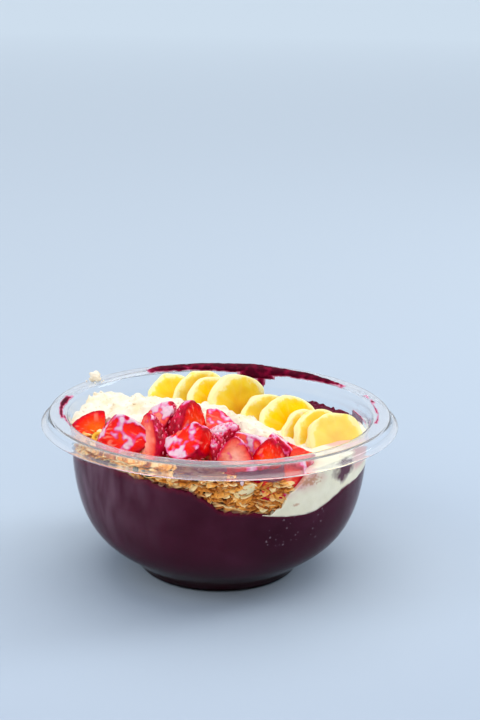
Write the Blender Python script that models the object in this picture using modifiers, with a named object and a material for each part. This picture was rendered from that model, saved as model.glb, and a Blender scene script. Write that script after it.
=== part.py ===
"""An acai bowl: a clear thermoformed PET bowl filled with acai, milk cream, granola and milk powder,
topped with a heap of cut strawberries and a leaning row of banana slices. Metres, +Z up, base at z = 0."""

import math

import bmesh
import bpy
from mathutils import Matrix, Vector, noise
from mathutils.geometry import interpolate_bezier

MM = 0.001

# Driving dimensions of the bowl
RIM_RADIUS = 82.5 * MM
RIM_HEIGHT = 76.0 * MM
LIP_HEIGHT = 71.0 * MM
BODY_RADIUS = 68.9 * MM
BODY_TOP = 67.5 * MM
FOOT_RADIUS = 37.2 * MM
FOOT_HEIGHT = 3.0 * MM
FOOT_RECESS = 1.2 * MM
WALL = 0.8 * MM
TURN_STEPS = 36

# Room between one piece of food and the next, and between the food and the wall
GAP = 0.35 * MM
FRUIT_GAP = 0.6 * MM

# Levels of the fill above the base, and how far each layer reaches in from the wall
ACAI_AT_WALL = 62.0 * MM
ACAI_DOME = 5.0 * MM
POCKET_DEPTH = 14.5 * MM
LAYER_INNER_RADIUS = 30.0 * MM
LAYER_EDGE = 1.2 * MM
LAYER_SINK = 2.5 * MM

# How finely the fruit is faceted
BERRY_SEGMENTS = 12
BERRY_RINGS = 8
BANANA_SIDES = 18
BANANA_EDGE = 1.0 * MM


def clear_scene():
    for old in list(bpy.data.objects):
        bpy.data.objects.remove(old)


def new_collection(name):
    collection = bpy.data.collections.new(name)
    bpy.context.scene.collection.children.link(collection)
    return collection


def linear(channel):
    channel /= 255
    return channel / 12.92 if channel <= 0.04045 else ((channel + 0.055) / 1.055) ** 2.4


def new_material(name, hex_colour, roughness, transmission=0.0):
    rgb = [linear(int(hex_colour[i : i + 2], 16)) for i in (0, 2, 4)]
    material = bpy.data.materials.new(name)
    material.use_nodes = True
    shader = material.node_tree.nodes["Principled BSDF"]
    shader.inputs["Base Color"].default_value = (*rgb, 1)
    shader.inputs["Roughness"].default_value = roughness
    shader.inputs["Metallic"].default_value = 0.0
    shader.inputs["Transmission Weight"].default_value = transmission
    return material


def new_object(name, bm, material=None):
    """An object in the parts collection, or a hidden wire helper when it has no material."""
    mesh = bpy.data.meshes.new(name)
    bm.to_mesh(mesh)
    bm.free()
    obj = bpy.data.objects.new(name, mesh)
    if material:
        mesh.materials.append(material)
        parts.objects.link(obj)
    else:
        obj.hide_render = True
        obj.display_type = "WIRE"
        helpers.objects.link(obj)
    return obj


def turned(name, profile, material=None):
    """A profile of (radius, height), closed at the axis and run down its outer side, turned about Z."""
    bm = bmesh.new()
    points = [bm.verts.new((r, 0, z)) for r, z in profile]
    for a, b in zip(points, points[1:]):
        bm.edges.new((a, b))
    obj = new_object(name, bm, material)
    screw = obj.modifiers.new("turn", "SCREW")
    screw.steps = screw.render_steps = TURN_STEPS
    screw.use_merge_vertices = True
    screw.merge_threshold = 0.01 * MM
    return obj


def evaluated_bmesh(obj):
    """The object's shape with its modifiers applied, welded."""
    bpy.context.view_layer.update()
    graph = bpy.context.evaluated_depsgraph_get()
    bm = bmesh.new()
    bm.from_object(obj, graph)
    bmesh.ops.remove_doubles(bm, verts=bm.verts, dist=0.01 * MM)
    return bm


def smooth_step(low, high, value):
    t = min(max((value - low) / (high - low), 0), 1)
    return t * t * (3 - 2 * t)


def azimuth(x, y):
    """Degrees round the bowl from its front, -Y, positive towards +X."""
    return math.degrees(math.atan2(x, -y))


def round_the_bowl(degrees, radius, z):
    angle = math.radians(degrees)
    return Vector((radius * math.sin(angle), -radius * math.cos(angle), z))


# --- The bowl: one thin sheet of PET, drawn over a mould, with a ring foot and a turned-down rim ---------


def body_outside():
    """Foot and body from the axis outwards and up, as (radius, height): a flare that turns upright."""
    foot = [
        (0, FOOT_RECESS),
        (FOOT_RADIUS - 6.0 * MM, FOOT_RECESS),
        (FOOT_RADIUS - 4.8 * MM, 0),
        (FOOT_RADIUS - 0.6 * MM, 0),
        (FOOT_RADIUS, 0.6 * MM),
    ]
    start = Vector((FOOT_RADIUS + 1.4 * MM, 0, FOOT_HEIGHT))
    end = Vector((BODY_RADIUS, 0, BODY_TOP))
    flare = start + Vector((10.1, 0, 12.6)) * MM
    upright = end - Vector((0, 0, 54.6)) * MM
    return foot + [(p.x, p.z) for p in interpolate_bezier(start, flare, upright, end, 7)]


def rim_top():
    """The upper face of the rim: a ledge for a lid, a flat ring, a short skirt and the lip."""
    return [
        (BODY_RADIUS + 0.4 * MM, RIM_HEIGHT - 3.2 * MM),
        (BODY_RADIUS + 1.5 * MM, RIM_HEIGHT - 0.9 * MM),
        (BODY_RADIUS + 3.4 * MM, RIM_HEIGHT),
        (RIM_RADIUS - 4.3 * MM, RIM_HEIGHT),
        (RIM_RADIUS - 3.5 * MM, RIM_HEIGHT - 0.6 * MM),
        (RIM_RADIUS - 2.9 * MM, LIP_HEIGHT + 1.4 * MM),
        (RIM_RADIUS - 0.6 * MM, LIP_HEIGHT + 0.6 * MM),
        (RIM_RADIUS, LIP_HEIGHT),
    ]


def offset(outline, distance):
    """The outline moved to its right-hand side, which gives a sheet its other face."""
    moved = []
    for i, (r, z) in enumerate(outline):
        before = Vector(outline[max(i - 1, 0)])
        after = Vector(outline[min(i + 1, len(outline) - 1)])
        along = (after - before).normalized()
        moved.append((max(r + along.y * distance, 0), z - along.x * distance))
    return moved


def inner_radius(z, clear=WALL):
    """Radius of the bowl's inside, or of a surface further in from its outside, at a height."""
    inside = offset(body_outside(), -clear)[5:]
    for (r0, z0), (r1, z1) in zip(inside, inside[1:]):
        if z <= z1:
            return r0 + (r1 - r0) * max(z - z0, 0) / (z1 - z0)
    return inside[-1][0]


def make_bowl(material):
    outside = body_outside()
    inside = offset(outside, -WALL)
    under_rim = offset(rim_top(), WALL)
    return turned("bowl", inside + rim_top() + under_rim[::-1] + outside[::-1], material)


def make_room_inside():
    """The space that food can fill, open upwards: what meets the wall is trimmed by it."""
    side = offset(body_outside(), -(WALL + GAP))
    top = 120 * MM
    profile = [(0, top), (side[-1][0], top)] + side[::-1]
    return turned("room_inside", profile)


# --- The fill, in layers: each layer is a height above the one below ----------------------------------


def lumps(x, y, size, height):
    return height * noise.noise(Vector((x / size, y / size, 0.5)))


def acai_level(x, y):
    """A low dome, with a pocket at the front right that the cream fills."""
    r, side = math.hypot(x, y), azimuth(x, y)
    dome = ACAI_DOME * (1 - (r / BODY_RADIUS) ** 2)
    pocket = smooth_step(-14, 6, side) * (1 - smooth_step(40, 105, side))
    pocket *= smooth_step(LAYER_INNER_RADIUS, 60 * MM, r)
    return ACAI_AT_WALL + dome - POCKET_DEPTH * pocket + lumps(x, y, 14 * MM, 1.0 * MM)


def cream_level(x, y):
    """The cream lies in the pocket, and thins out to nothing at its left end and towards the middle."""
    r, side = math.hypot(x, y), azimuth(x, y)
    thick = 18.5 * MM * smooth_step(12, 40, side) * (1 - smooth_step(62, 112, side))
    return acai_level(x, y) + thick * smooth_step(LAYER_INNER_RADIUS, 56 * MM, r)


def granola_level(x, y):
    """Granola along the front wall: deep where the acai dips, thin at both ends."""
    r, side = math.hypot(x, y), azimuth(x, y)
    thick = 8.5 * MM + 6.0 * MM * smooth_step(-16, 6, side) * (1 - smooth_step(8, 26, side))
    thick *= smooth_step(-92, -70, side) * (1 - smooth_step(14, 40, side))
    return cream_level(x, y) + thick * smooth_step(LAYER_INNER_RADIUS, 58 * MM, r)


def milk_level(across, x, y):
    """Milk powder heaped against the left wall, falling to a strip between the fruit."""
    heap = 9.0 * MM + 4.0 * MM * smooth_step(-20 * MM, -60 * MM, x)
    edges = math.sin(math.pi * (0.12 + 0.76 * across))
    return granola_level(x, y) + heap * edges + lumps(x, y, 7 * MM, 1.6 * MM)


def make_acai(material):
    """Turned to the inside of the bowl, then its flat top is moved to its level."""
    side = [(r, z) for r, z in offset(body_outside(), -(WALL + GAP)) if z < 46 * MM]
    side = side[:2] + side[5:]
    flat_top = [(r * MM, ACAI_AT_WALL) for r in (0, 18, 36, 50, 60)]
    rim = (inner_radius(ACAI_AT_WALL, WALL + GAP), ACAI_AT_WALL)
    blank = turned("acai_blank", flat_top + [rim] + side[::-1])
    bm = evaluated_bmesh(blank)
    bpy.data.objects.remove(blank)
    for vert in bm.verts:
        if vert.co.z > 46.1 * MM:
            vert.co.z = acai_level(vert.co.x, vert.co.y)
            at_wall = Vector((vert.co.x, vert.co.y)).length > 61 * MM
            if at_wall:
                radius = inner_radius(vert.co.z, WALL + GAP)
                vert.co.xy = Vector((vert.co.x, vert.co.y)).normalized() * radius
    bmesh.ops.triangulate(bm, faces=bm.faces)
    return new_object("acai", bm, material)


def slab(name, columns, rows, place, bottom, top, material):
    """A grid placed by place(u, v), raised to its top, and extruded down into the layer below."""
    bm = bmesh.new()
    bmesh.ops.create_grid(bm, x_segments=columns, y_segments=rows, size=0.5)
    grid = {vert: (vert.co.x + 0.5, vert.co.y + 0.5) for vert in bm.verts}
    lower = bmesh.ops.extrude_face_region(bm, geom=bm.faces[:])
    lower = [v for v in lower["geom"] if isinstance(v, bmesh.types.BMVert)]
    spots = {vert: (vert.co.x + 0.5, vert.co.y + 0.5) for vert in lower}
    for vert, (u, v) in grid.items():
        x, y = place(u, v)
        vert.co = (x, y, max(top(u, v, x, y), bottom(x, y) + LAYER_EDGE))
    for vert, (u, v) in spots.items():
        x, y = place(u, v)
        vert.co = (x, y, bottom(x, y) - LAYER_SINK)
    bmesh.ops.triangulate(bm, faces=bm.faces)
    bmesh.ops.recalc_face_normals(bm, faces=bm.faces)
    if bm.calc_volume(signed=True) < 0:
        bmesh.ops.reverse_faces(bm, faces=bm.faces)
    return new_object(name, bm, material)


def sector(start, end):
    """Places a grid on the sector between two azimuths, from its inner radius to just past the wall."""

    def place(u, v):
        spot = round_the_bowl(start + (end - start) * u, LAYER_INNER_RADIUS, 0)
        reach = BODY_RADIUS + 2 * MM - LAYER_INNER_RADIUS
        return (spot * (1 + v * reach / LAYER_INNER_RADIUS)).xy

    return place


def make_cream(material):
    top = lambda u, v, x, y: cream_level(x, y)
    return slab("cream", 10, 4, sector(13, 110), acai_level, top, material)


def make_granola(material):
    top = lambda u, v, x, y: granola_level(x, y) + lumps(x, y, 5 * MM, 1.5 * MM)
    return slab("granola", 15, 4, sector(-90, 38), cream_level, top, material)


def make_milk(material):
    """A ruled patch between the backs of the strawberries and the fronts of the banana slices."""
    front = [Vector(p) * MM for p in ((-70, -6, 0), (-30, -12, 0), (14, -22, 0), (52, -40, 0))]
    back = [Vector(p) * MM for p in ((-54, 50, 0), (-30, 30, 0), (12, 6, 0), (64, -26, 0))]
    columns, rows = 15, 5
    front_line = interpolate_bezier(*front, columns + 1)
    back_line = interpolate_bezier(*back, columns + 1)

    def place(u, v):
        i = round(u * columns)
        return front_line[i].lerp(back_line[i], v).xy

    top = lambda u, v, x, y: milk_level(v, x, y)
    return slab("milk_powder", columns, rows, place, granola_level, top, material)


# --- The fruit -----------------------------------------------------------------------------------------

UP = Vector((0, 0, 1))

# Strawberry pieces: centre, direction of the tip, (length, width) of the whole berry, and the knife cuts,
# each the outward normal of the cut face and its distance from the berry's middle. Millimetres.
BERRY_PIECES = (
    ((-58, -17, 73), (-1, -0.1, -0.1), (28, 22), (((0.1, -0.8, 0.6), 1), ((1, 0.1, 0), 5))),
    ((-42, -32, 76), (1, -0.3, 0), (30, 24), (((-0.1, -0.9, 0.4), 2), ((-1, 0.2, 0), 8), ((0, 0.3, -1), 4))),
    ((-33, -46, 77), (0.1, 0.2, 1), (30, 25), (((-0.6, -0.75, 0.25), 0), ((0.1, 1, 0), 4), ((0, 0, -1), 3))),
    ((-29, -22, 79), (0.7, 0.3, 0.6), (20, 15), (((-0.5, -0.5, 0.6), 0), ((0, 0.5, -1), 3))),
    ((-14, -32, 80), (-0.1, 0.1, 1), (30, 25), (((0.5, -0.8, 0.3), 3), ((0, 1, 0), 5), ((0, 0, -1), 5))),
    ((-13, -52, 76), (1, 0, 0.1), (26, 22), (((-0.3, -0.9, 0.3), 4), ((0, 1, 0.1), 4), ((0.8, -0.6, 0.2), 7))),
    ((2, -22, 76), (1, -0.3, -0.3), (26, 18), (((0.2, -0.5, 0.9), 2), ((-1, 0, 0), 5), ((0, 0.2, -1), 3))),
    ((2, -36, 75), (0.5, -0.3, 0.8), (22, 16), (((0.3, 1, 0), 2), ((0, 0, -1), 4), ((-1, 0, 0), 5))),
    ((-2, -50, 74), (0, 0.2, 1), (24, 15), (((-0.9, -0.4, 0), 3), ((0.9, 0.3, 0), 3), ((0, 0, -1), 6))),
    ((7, -56, 73), (0, 0.3, 1), (26, 22), (((-0.1, -0.95, 0.3), 1), ((0, 1, 0), 4), ((0, 0, -1), 5))),
    ((16, -46, 74), (-0.3, 0.2, 1), (26, 24), (((0.2, 0.3, 1), 4), ((-0.5, -0.8, 0.3), 3), ((0, 0, -1), 4))),
    ((24, -54, 72), (0.1, 0.2, 1), (26, 22), (((-0.5, -0.8, 0.3), 2), ((0.7, -0.6, 0.2), 3), ((0, 0, -1), 5))),
    ((28, -42, 73), (0.3, 0.2, 1), (24, 20), (((0.6, 0.1, 0.8), 4), ((-0.6, 0.5, 0), 3), ((0, 0, -1), 4))),
    ((36, -47, 71), (0.8, 0.2, 0.5), (24, 18), (((-0.2, -0.8, 0.5), 2), ((0.4, 0.4, 0.8), 3), ((0, 0, -1), 3))),
    ((9, -60, 65), (-1, 0.2, 0), (28, 18), (((0, 0.3, 1), 3), ((0.1, 1, 0), 1), ((1, 0, 0), 8))),
    ((34, -52, 63), (1, 0.5, 0.2), (30, 20), (((-0.3, 0.4, 1), 4), ((-0.5, 0.8, 0), 1), ((-1, -0.3, 0), 7))),
)

# Banana slices from the back left to the front right: centre, azimuth and rise of the cut face's normal
# in degrees, radius and thickness. Millimetres.
BANANA_SLICES = (
    ((-22.5, 36, 66.8), 24, 34, 14.0, 6.5),
    ((-10.5, 32, 71.0), 28, 12, 13.5, 6.0),
    ((-3.5, 26, 69.0), 38, 22, 14.5, 6.0),
    ((8.0, 20, 70.0), 34, 6, 15.0, 7.5),
    ((22.0, 9, 65.4), 26, 14, 14.5, 7.0),
    ((33.0, -1, 66.2), 22, 28, 14.8, 7.0),
    ((40.0, -8, 63.0), 30, 22, 14.0, 5.5),
    ((45.0, -13, 66.0), 36, 24, 13.5, 6.5),
    ((52.0, -20, 66.5), 28, 26, 14.0, 6.5),
)


def berry_piece(index, centre, tip, size, cuts, material):
    """A whole berry, cut flat by each knife stroke, with the middle of what is left at the centre."""
    bm = bmesh.new()
    bmesh.ops.create_uvsphere(bm, u_segments=BERRY_SEGMENTS, v_segments=BERRY_RINGS, radius=0.5)
    length, width = size
    for vert in bm.verts:
        shoulder = 1.0 - 0.38 * smooth_step(-0.2, 0.55, vert.co.z)
        vert.co.x *= width * shoulder
        vert.co.y *= width * shoulder
        vert.co.z *= length
    turn = UP.rotation_difference(Vector(tip)).to_matrix()
    bmesh.ops.rotate(bm, verts=bm.verts, matrix=turn)
    for normal, distance in cuts:
        normal = Vector(normal).normalized()
        everything = bm.verts[:] + bm.edges[:] + bm.faces[:]
        spot = normal * distance
        bmesh.ops.bisect_plane(bm, geom=everything, plane_co=spot, plane_no=normal, clear_outer=True)
        open_edges = [edge for edge in bm.edges if edge.is_boundary]
        bmesh.ops.holes_fill(bm, edges=open_edges)
    lows, highs = [[pick(v.co[i] for v in bm.verts) for i in range(3)] for pick in (min, max)]
    middle = (Vector(lows) + Vector(highs)) / 2
    bmesh.ops.translate(bm, verts=bm.verts, vec=Vector(centre) - middle)
    bmesh.ops.scale(bm, verts=bm.verts, vec=(MM, MM, MM))
    bmesh.ops.recalc_face_normals(bm, faces=bm.faces)
    return new_object(f"strawberry_{index:02d}", bm, material)


def banana_slice(index, centre, facing, rise, radius, thickness, material):
    """A disc, a little three-sided as bananas are, with its edges rounded over."""
    bm = bmesh.new()
    bmesh.ops.create_cone(
        bm, cap_ends=True, segments=BANANA_SIDES, radius1=1, radius2=1, depth=thickness * MM
    )
    for vert in bm.verts:
        angle = math.atan2(vert.co.y, vert.co.x)
        out = 1 + 0.025 * math.cos(3 * angle + index) + 0.02 * math.cos(2 * angle + 2 * index)
        vert.co.x *= radius * MM * out
        vert.co.y *= radius * MM * out
    normal = round_the_bowl(facing, math.cos(math.radians(rise)), math.sin(math.radians(rise)))
    turn = UP.rotation_difference(normal).to_matrix().to_4x4()
    bmesh.ops.transform(bm, verts=bm.verts, matrix=Matrix.Translation(Vector(centre) * MM) @ turn)
    rims = [e for e in bm.edges if len(e.link_faces) == 2 and max(len(f.verts) for f in e.link_faces) > 4]
    bmesh.ops.bevel(bm, geom=rims, offset=BANANA_EDGE, segments=1, affect="EDGES")
    return new_object(f"banana_{index:02d}", bm, material)


# --- Fitting the pieces to each other ------------------------------------------------------------------


def box_of(obj):
    corners = [v.co for v in obj.data.vertices]
    return [[pick(c[i] for c in corners) for i in range(3)] for pick in (min, max)]


def near(a, b):
    (low_a, high_a), (low_b, high_b) = box_of(a), box_of(b)
    return all(low_a[i] < high_b[i] + GAP and low_b[i] < high_a[i] + GAP for i in range(3))


def swollen(obj, distance):
    """A hidden copy of a piece, grown on every side, that keeps others clear of it."""
    bm = bmesh.new()
    bm.from_mesh(obj.data)
    bm.normal_update()
    grown = {vert: vert.co + vert.normal * distance for vert in bm.verts}
    for vert, place in grown.items():
        vert.co = place
    return new_object(obj.name + "_room", bm)


def cut(obj, other, operation):
    """The food meets at grazing angles, where the EXACT solver leaves open edges."""
    boolean = obj.modifiers.new(other.name, "BOOLEAN")
    boolean.operation = operation
    boolean.object = other
    boolean.solver = "MANIFOLD"


def make_room(obj, neighbours):
    """Keeps the piece inside the bowl, and clear of the pieces it meets."""
    if obj.name != "acai":
        cut(obj, room_inside, "INTERSECT")
    for room in neighbours:
        if near(obj, room):
            cut(obj, room, "DIFFERENCE")


def settle(obj):
    """Applies the cuts and keeps the main piece, without crumbs that a cut left loose."""
    bm = evaluated_bmesh(obj)
    islands, seen = [], set()
    for start in bm.verts:
        if start in seen:
            continue
        island, queue = [], [start]
        seen.add(start)
        while queue:
            vert = queue.pop()
            island.append(vert)
            for edge in vert.link_edges:
                other = edge.other_vert(vert)
                if other not in seen:
                    seen.add(other)
                    queue.append(other)
        islands.append(island)
    islands.sort(key=len)
    for island in islands[:-1]:
        bmesh.ops.delete(bm, geom=island, context="VERTS")
    obj.modifiers.clear()
    bm.to_mesh(obj.data)
    bm.free()


def shade_smooth(obj):
    obj.data.shade_smooth()
    obj.data.set_sharp_from_angle(angle=math.radians(35))


clear_scene()
parts = new_collection("acai_bowl")
helpers = new_collection("helpers")

pet = new_material("clear PET", "F2F6F8", 0.05, transmission=1.0)
acai_pulp = new_material("acai pulp", "4A2A3C", 0.45)
milk_cream = new_material("milk cream", "E4E4D6", 0.4)
toasted_oats = new_material("toasted oats", "C08A4A", 0.7)
dry_milk = new_material("milk powder", "F6F1DC", 0.9)
strawberry_flesh = new_material("strawberry", "D42430", 0.3)
banana_flesh = new_material("banana", "F2D66A", 0.35)

bowl = make_bowl(pet)
room_inside = make_room_inside()
beds = [make_acai(acai_pulp), make_cream(milk_cream), make_granola(toasted_oats), make_milk(dry_milk)]
fruit = [
    banana_slice(i, *slice_, banana_flesh) for i, slice_ in enumerate(BANANA_SLICES, start=1)
] + [berry_piece(i, *piece, strawberry_flesh) for i, piece in enumerate(BERRY_PIECES, start=1)]

layers = [swollen(bed, GAP) for bed in beds]
rooms = [swollen(piece, FRUIT_GAP) for piece in fruit]
for i, piece in enumerate(fruit):
    make_room(piece, rooms[:i])
for i, bed in enumerate(beds):
    make_room(bed, layers[:i] + rooms)
for obj in fruit + beds:
    settle(obj)
    shade_smooth(obj)
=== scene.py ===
"""An acai bowl: a clear bowl of acai, milk cream, granola and milk powder, with a heap of cut
strawberries and a leaning row of banana slices. Metres, +Z up, the bowl's foot on z = 0."""

import math
import random

import bmesh
import bpy
from mathutils import Matrix, Vector, noise
from mathutils.geometry import interpolate_bezier
from mathutils.kdtree import KDTree


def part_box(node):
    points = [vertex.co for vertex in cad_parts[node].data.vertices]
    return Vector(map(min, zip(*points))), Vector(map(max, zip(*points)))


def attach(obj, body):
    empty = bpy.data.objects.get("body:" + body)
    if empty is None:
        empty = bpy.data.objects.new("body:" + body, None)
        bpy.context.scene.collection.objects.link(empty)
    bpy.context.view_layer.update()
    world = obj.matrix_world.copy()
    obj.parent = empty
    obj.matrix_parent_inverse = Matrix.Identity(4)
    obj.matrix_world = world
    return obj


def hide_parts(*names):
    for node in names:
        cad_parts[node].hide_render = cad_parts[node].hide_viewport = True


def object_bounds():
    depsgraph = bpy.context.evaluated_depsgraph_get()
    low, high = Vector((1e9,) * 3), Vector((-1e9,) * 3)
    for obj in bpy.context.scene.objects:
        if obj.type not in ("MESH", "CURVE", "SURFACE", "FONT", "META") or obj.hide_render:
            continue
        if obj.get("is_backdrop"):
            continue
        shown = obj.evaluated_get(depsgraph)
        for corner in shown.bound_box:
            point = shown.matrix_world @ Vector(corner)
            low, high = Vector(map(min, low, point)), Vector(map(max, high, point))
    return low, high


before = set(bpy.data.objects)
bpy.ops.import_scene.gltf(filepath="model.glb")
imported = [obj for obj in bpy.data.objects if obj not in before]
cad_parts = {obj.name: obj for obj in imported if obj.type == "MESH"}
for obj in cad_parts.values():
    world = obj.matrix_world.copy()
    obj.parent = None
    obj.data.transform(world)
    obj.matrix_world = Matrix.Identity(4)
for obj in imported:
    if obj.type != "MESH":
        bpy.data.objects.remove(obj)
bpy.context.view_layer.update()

# --- The bowl -------------------------------------------------------------------------------------------
# A take-away bowl of clear PET sheet, drawn over a mould in one piece: a ring foot, a flared body that
# turns upright, a ledge for a lid, a flat ring, a short skirt and a turned-out lip.

MM = 0.001
WALL = 0.8 * MM
RIM_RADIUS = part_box("bowl")[1].x
RIM_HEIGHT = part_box("bowl")[1].z
LIP_HEIGHT = RIM_HEIGHT - 5.0 * MM
BODY_RADIUS = RIM_RADIUS - 13.6 * MM
BODY_TOP = RIM_HEIGHT - 8.5 * MM
FOOT_RADIUS = 37.2 * MM
FOOT_HEIGHT = 3.0 * MM
FOOT_RECESS = 1.2 * MM
UP = Vector((0, 0, 1))


def rgb(hex_colour):
    """An sRGB hex colour as linear red, green, blue and alpha."""
    channels = [int(hex_colour[i : i + 2], 16) / 255 for i in (0, 2, 4)]
    return [c / 12.92 if c <= 0.04045 else ((c + 0.055) / 1.055) ** 2.4 for c in channels] + [1]


def add_node(tree, kind, inputs=None, **settings):
    """Adds one node. inputs maps a socket's name or number to a value or to another node's output."""
    node = tree.nodes.new(kind)
    for setting, value in settings.items():
        setattr(node, setting, value)
    for socket, value in (inputs or {}).items():
        if isinstance(value, bpy.types.NodeSocket):
            tree.links.new(value, node.inputs[socket])
        else:
            node.inputs[socket].default_value = value
    return node


def new_material(name):
    """An empty material: its node tree and its output node."""
    material = bpy.data.materials.new(name)
    material.use_nodes = True
    material.node_tree.nodes.clear()
    return material, material.node_tree, add_node(material.node_tree, "ShaderNodeOutputMaterial")


def ramp(tree, factor, stops, blend="LINEAR"):
    """A colour ramp through (position, hex colour) stops."""
    node = add_node(tree, "ShaderNodeValToRGB", {0: factor})
    node.color_ramp.interpolation = blend
    while len(node.color_ramp.elements) < len(stops):
        node.color_ramp.elements.new(0.5)
    for element, (position, colour) in zip(node.color_ramp.elements, stops):
        element.position = position
        element.color = rgb(colour)
    return node.outputs[0]


def smooth_step(low, high, value):
    t = min(max((value - low) / (high - low), 0), 1)
    return t * t * (3 - 2 * t)


def azimuth(x, y):
    """Degrees round the bowl from its front, -Y, positive towards +X."""
    return math.degrees(math.atan2(x, -y))


def round_the_bowl(degrees, radius, z):
    angle = math.radians(degrees)
    return Vector((radius * math.sin(angle), -radius * math.cos(angle), z))


def body_outside(steps):
    """Foot and body from the axis outwards and up, as (radius, height)."""
    foot = [
        (0, FOOT_RECESS),
        (FOOT_RADIUS - 6.0 * MM, FOOT_RECESS),
        (FOOT_RADIUS - 4.8 * MM, 0),
        (FOOT_RADIUS - 0.6 * MM, 0),
        (FOOT_RADIUS, 0.6 * MM),
    ]
    start = Vector((FOOT_RADIUS + 1.4 * MM, 0, FOOT_HEIGHT))
    end = Vector((BODY_RADIUS, 0, BODY_TOP))
    flare = start + Vector((10.1, 0, 12.6)) * MM
    upright = end - Vector((0, 0, 54.6)) * MM
    return foot + [(p.x, p.z) for p in interpolate_bezier(start, flare, upright, end, steps)]


def rim_top():
    """The upper face of the rim, from the lid's ledge out to the lip."""
    return [
        (BODY_RADIUS + 0.4 * MM, RIM_HEIGHT - 3.2 * MM),
        (BODY_RADIUS + 1.5 * MM, RIM_HEIGHT - 0.9 * MM),
        (BODY_RADIUS + 3.4 * MM, RIM_HEIGHT),
        (RIM_RADIUS - 4.3 * MM, RIM_HEIGHT),
        (RIM_RADIUS - 3.5 * MM, RIM_HEIGHT - 0.6 * MM),
        (RIM_RADIUS - 2.9 * MM, LIP_HEIGHT + 1.4 * MM),
        (RIM_RADIUS - 0.6 * MM, LIP_HEIGHT + 0.6 * MM),
        (RIM_RADIUS, LIP_HEIGHT),
    ]


def offset(outline, distance):
    """The outline moved to its right-hand side."""
    moved = []
    for i, (r, z) in enumerate(outline):
        before = Vector(outline[max(i - 1, 0)])
        after = Vector(outline[min(i + 1, len(outline) - 1)])
        along = (after - before).normalized()
        moved.append((max(r + along.y * distance, 0), z - along.x * distance))
    return moved


def rounded(outline, radius, steps=3):
    """The outline with each corner eased over up to that radius."""
    eased = [outline[0]]
    for before, corner, after in zip(outline, outline[1:], outline[2:]):
        corner = Vector(corner)
        back, on = Vector(before) - corner, Vector(after) - corner
        start = corner + back.normalized() * min(radius, back.length * 0.45)
        end = corner + on.normalized() * min(radius, on.length * 0.45)
        for k in range(steps + 1):
            t = k / steps
            eased.append(tuple(start * (1 - t) ** 2 + corner * 2 * t * (1 - t) + end * t * t))
    return eased + [outline[-1]]


INSIDE = offset(body_outside(30), -WALL)[5:]


def inner_radius(z):
    """Radius of the bowl's inner wall at a height."""
    for (r0, z0), (r1, z1) in zip(INSIDE, INSIDE[1:]):
        if z <= z1:
            return r0 + (r1 - r0) * max(z - z0, 0) / (z1 - z0)
    return INSIDE[-1][0] + (z - BODY_TOP) * 0.23


def finished(name, bm, material, slot, *nodes):
    """Makes the mesh an object that rides on the row, takes its finish, and stands for CAD nodes."""
    mesh = bpy.data.meshes.new(name)
    bm.to_mesh(mesh)
    bm.free()
    mesh.shade_smooth()
    mesh.materials.clear()
    mesh.materials.append(material)
    obj = bpy.data.objects.new(name, mesh)
    bpy.context.scene.collection.objects.link(obj)
    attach(obj, "root")
    if nodes:
        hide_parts(*nodes)
    return obj


def turned(outline, steps):
    """A shell turned about Z from an outline of (radius, height) that starts and ends on the axis."""
    bm = bmesh.new()
    rings = []
    for r, z in outline:
        count = 1 if r < 0.01 * MM else steps
        rings.append([bm.verts.new(round_the_bowl(360 * k / steps, r, z)) for k in range(count)])
    for low, high in zip(rings, rings[1:]):
        for k in range(steps):
            corners = [low[k % len(low)], low[(k + 1) % steps % len(low)]]
            corners += [high[(k + 1) % steps % len(high)], high[k % len(high)]]
            bm.faces.new(dict.fromkeys(corners))
    bmesh.ops.recalc_face_normals(bm, faces=bm.faces)
    return bm


def pet_sheet(name, colour, ior, roughness, transmission):
    """PET sheet. Light passes straight through it to the food, so its shadow is weak."""
    material, tree, output = new_material(name)
    place = add_node(tree, "ShaderNodeTexCoord").outputs["Object"]
    waviness = add_node(tree, "ShaderNodeTexNoise", {"Vector": place, "Scale": 90.0, "Detail": 2.0})
    bump = add_node(
        tree, "ShaderNodeBump", {"Height": waviness.outputs[0], "Strength": 0.12, "Distance": 0.4 * MM}
    )
    sheet = add_node(
        tree,
        "ShaderNodeBsdfPrincipled",
        {
            "Base Color": rgb(colour),
            "Roughness": roughness,
            "IOR": ior,
            "Specular Tint": rgb("74787C"),
            "Transmission Weight": transmission,
            "Normal": bump.outputs[0],
        },
    )
    light_path = add_node(tree, "ShaderNodeLightPath")
    clear = add_node(tree, "ShaderNodeBsdfTransparent", {"Color": rgb("F4F7F9")})
    through = add_node(
        tree,
        "ShaderNodeMixShader",
        {0: light_path.outputs["Is Shadow Ray"], 1: sheet.outputs[0], 2: clear.outputs[0]},
    )
    tree.links.new(through.outputs[0], output.inputs["Surface"])
    return material


# Clear PET, thermoformed: glossy and colourless. Where the acai wets it, it hardly reflects, so its IOR is
# low there. High on the wall it is faintly milky, and milkier on the flat ring and at the lip, where it is
# bent most: partly the sheet's own whitening, partly painted reflection standing in for the bright bands
# and lines the room's light makes there.
clear_pet = pet_sheet("clear_thermoformed_pet", "FAFCFD", 1.085, 0.03, 1.0)
foot_pet = pet_sheet("wetted_foot_pet", "FAFCFD", 1.02, 0.03, 1.0)
milky_pet_partly_painted_reflection = pet_sheet("faintly_milky_pet_and_painted_reflection", "FFFFFF", 1.42, 0.03, 0.985)
whitened_pet_partly_painted_reflection = pet_sheet("stress_whitened_pet_and_painted_reflection", "FFFFFF", 1.42, 0.05, 0.93)

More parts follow.
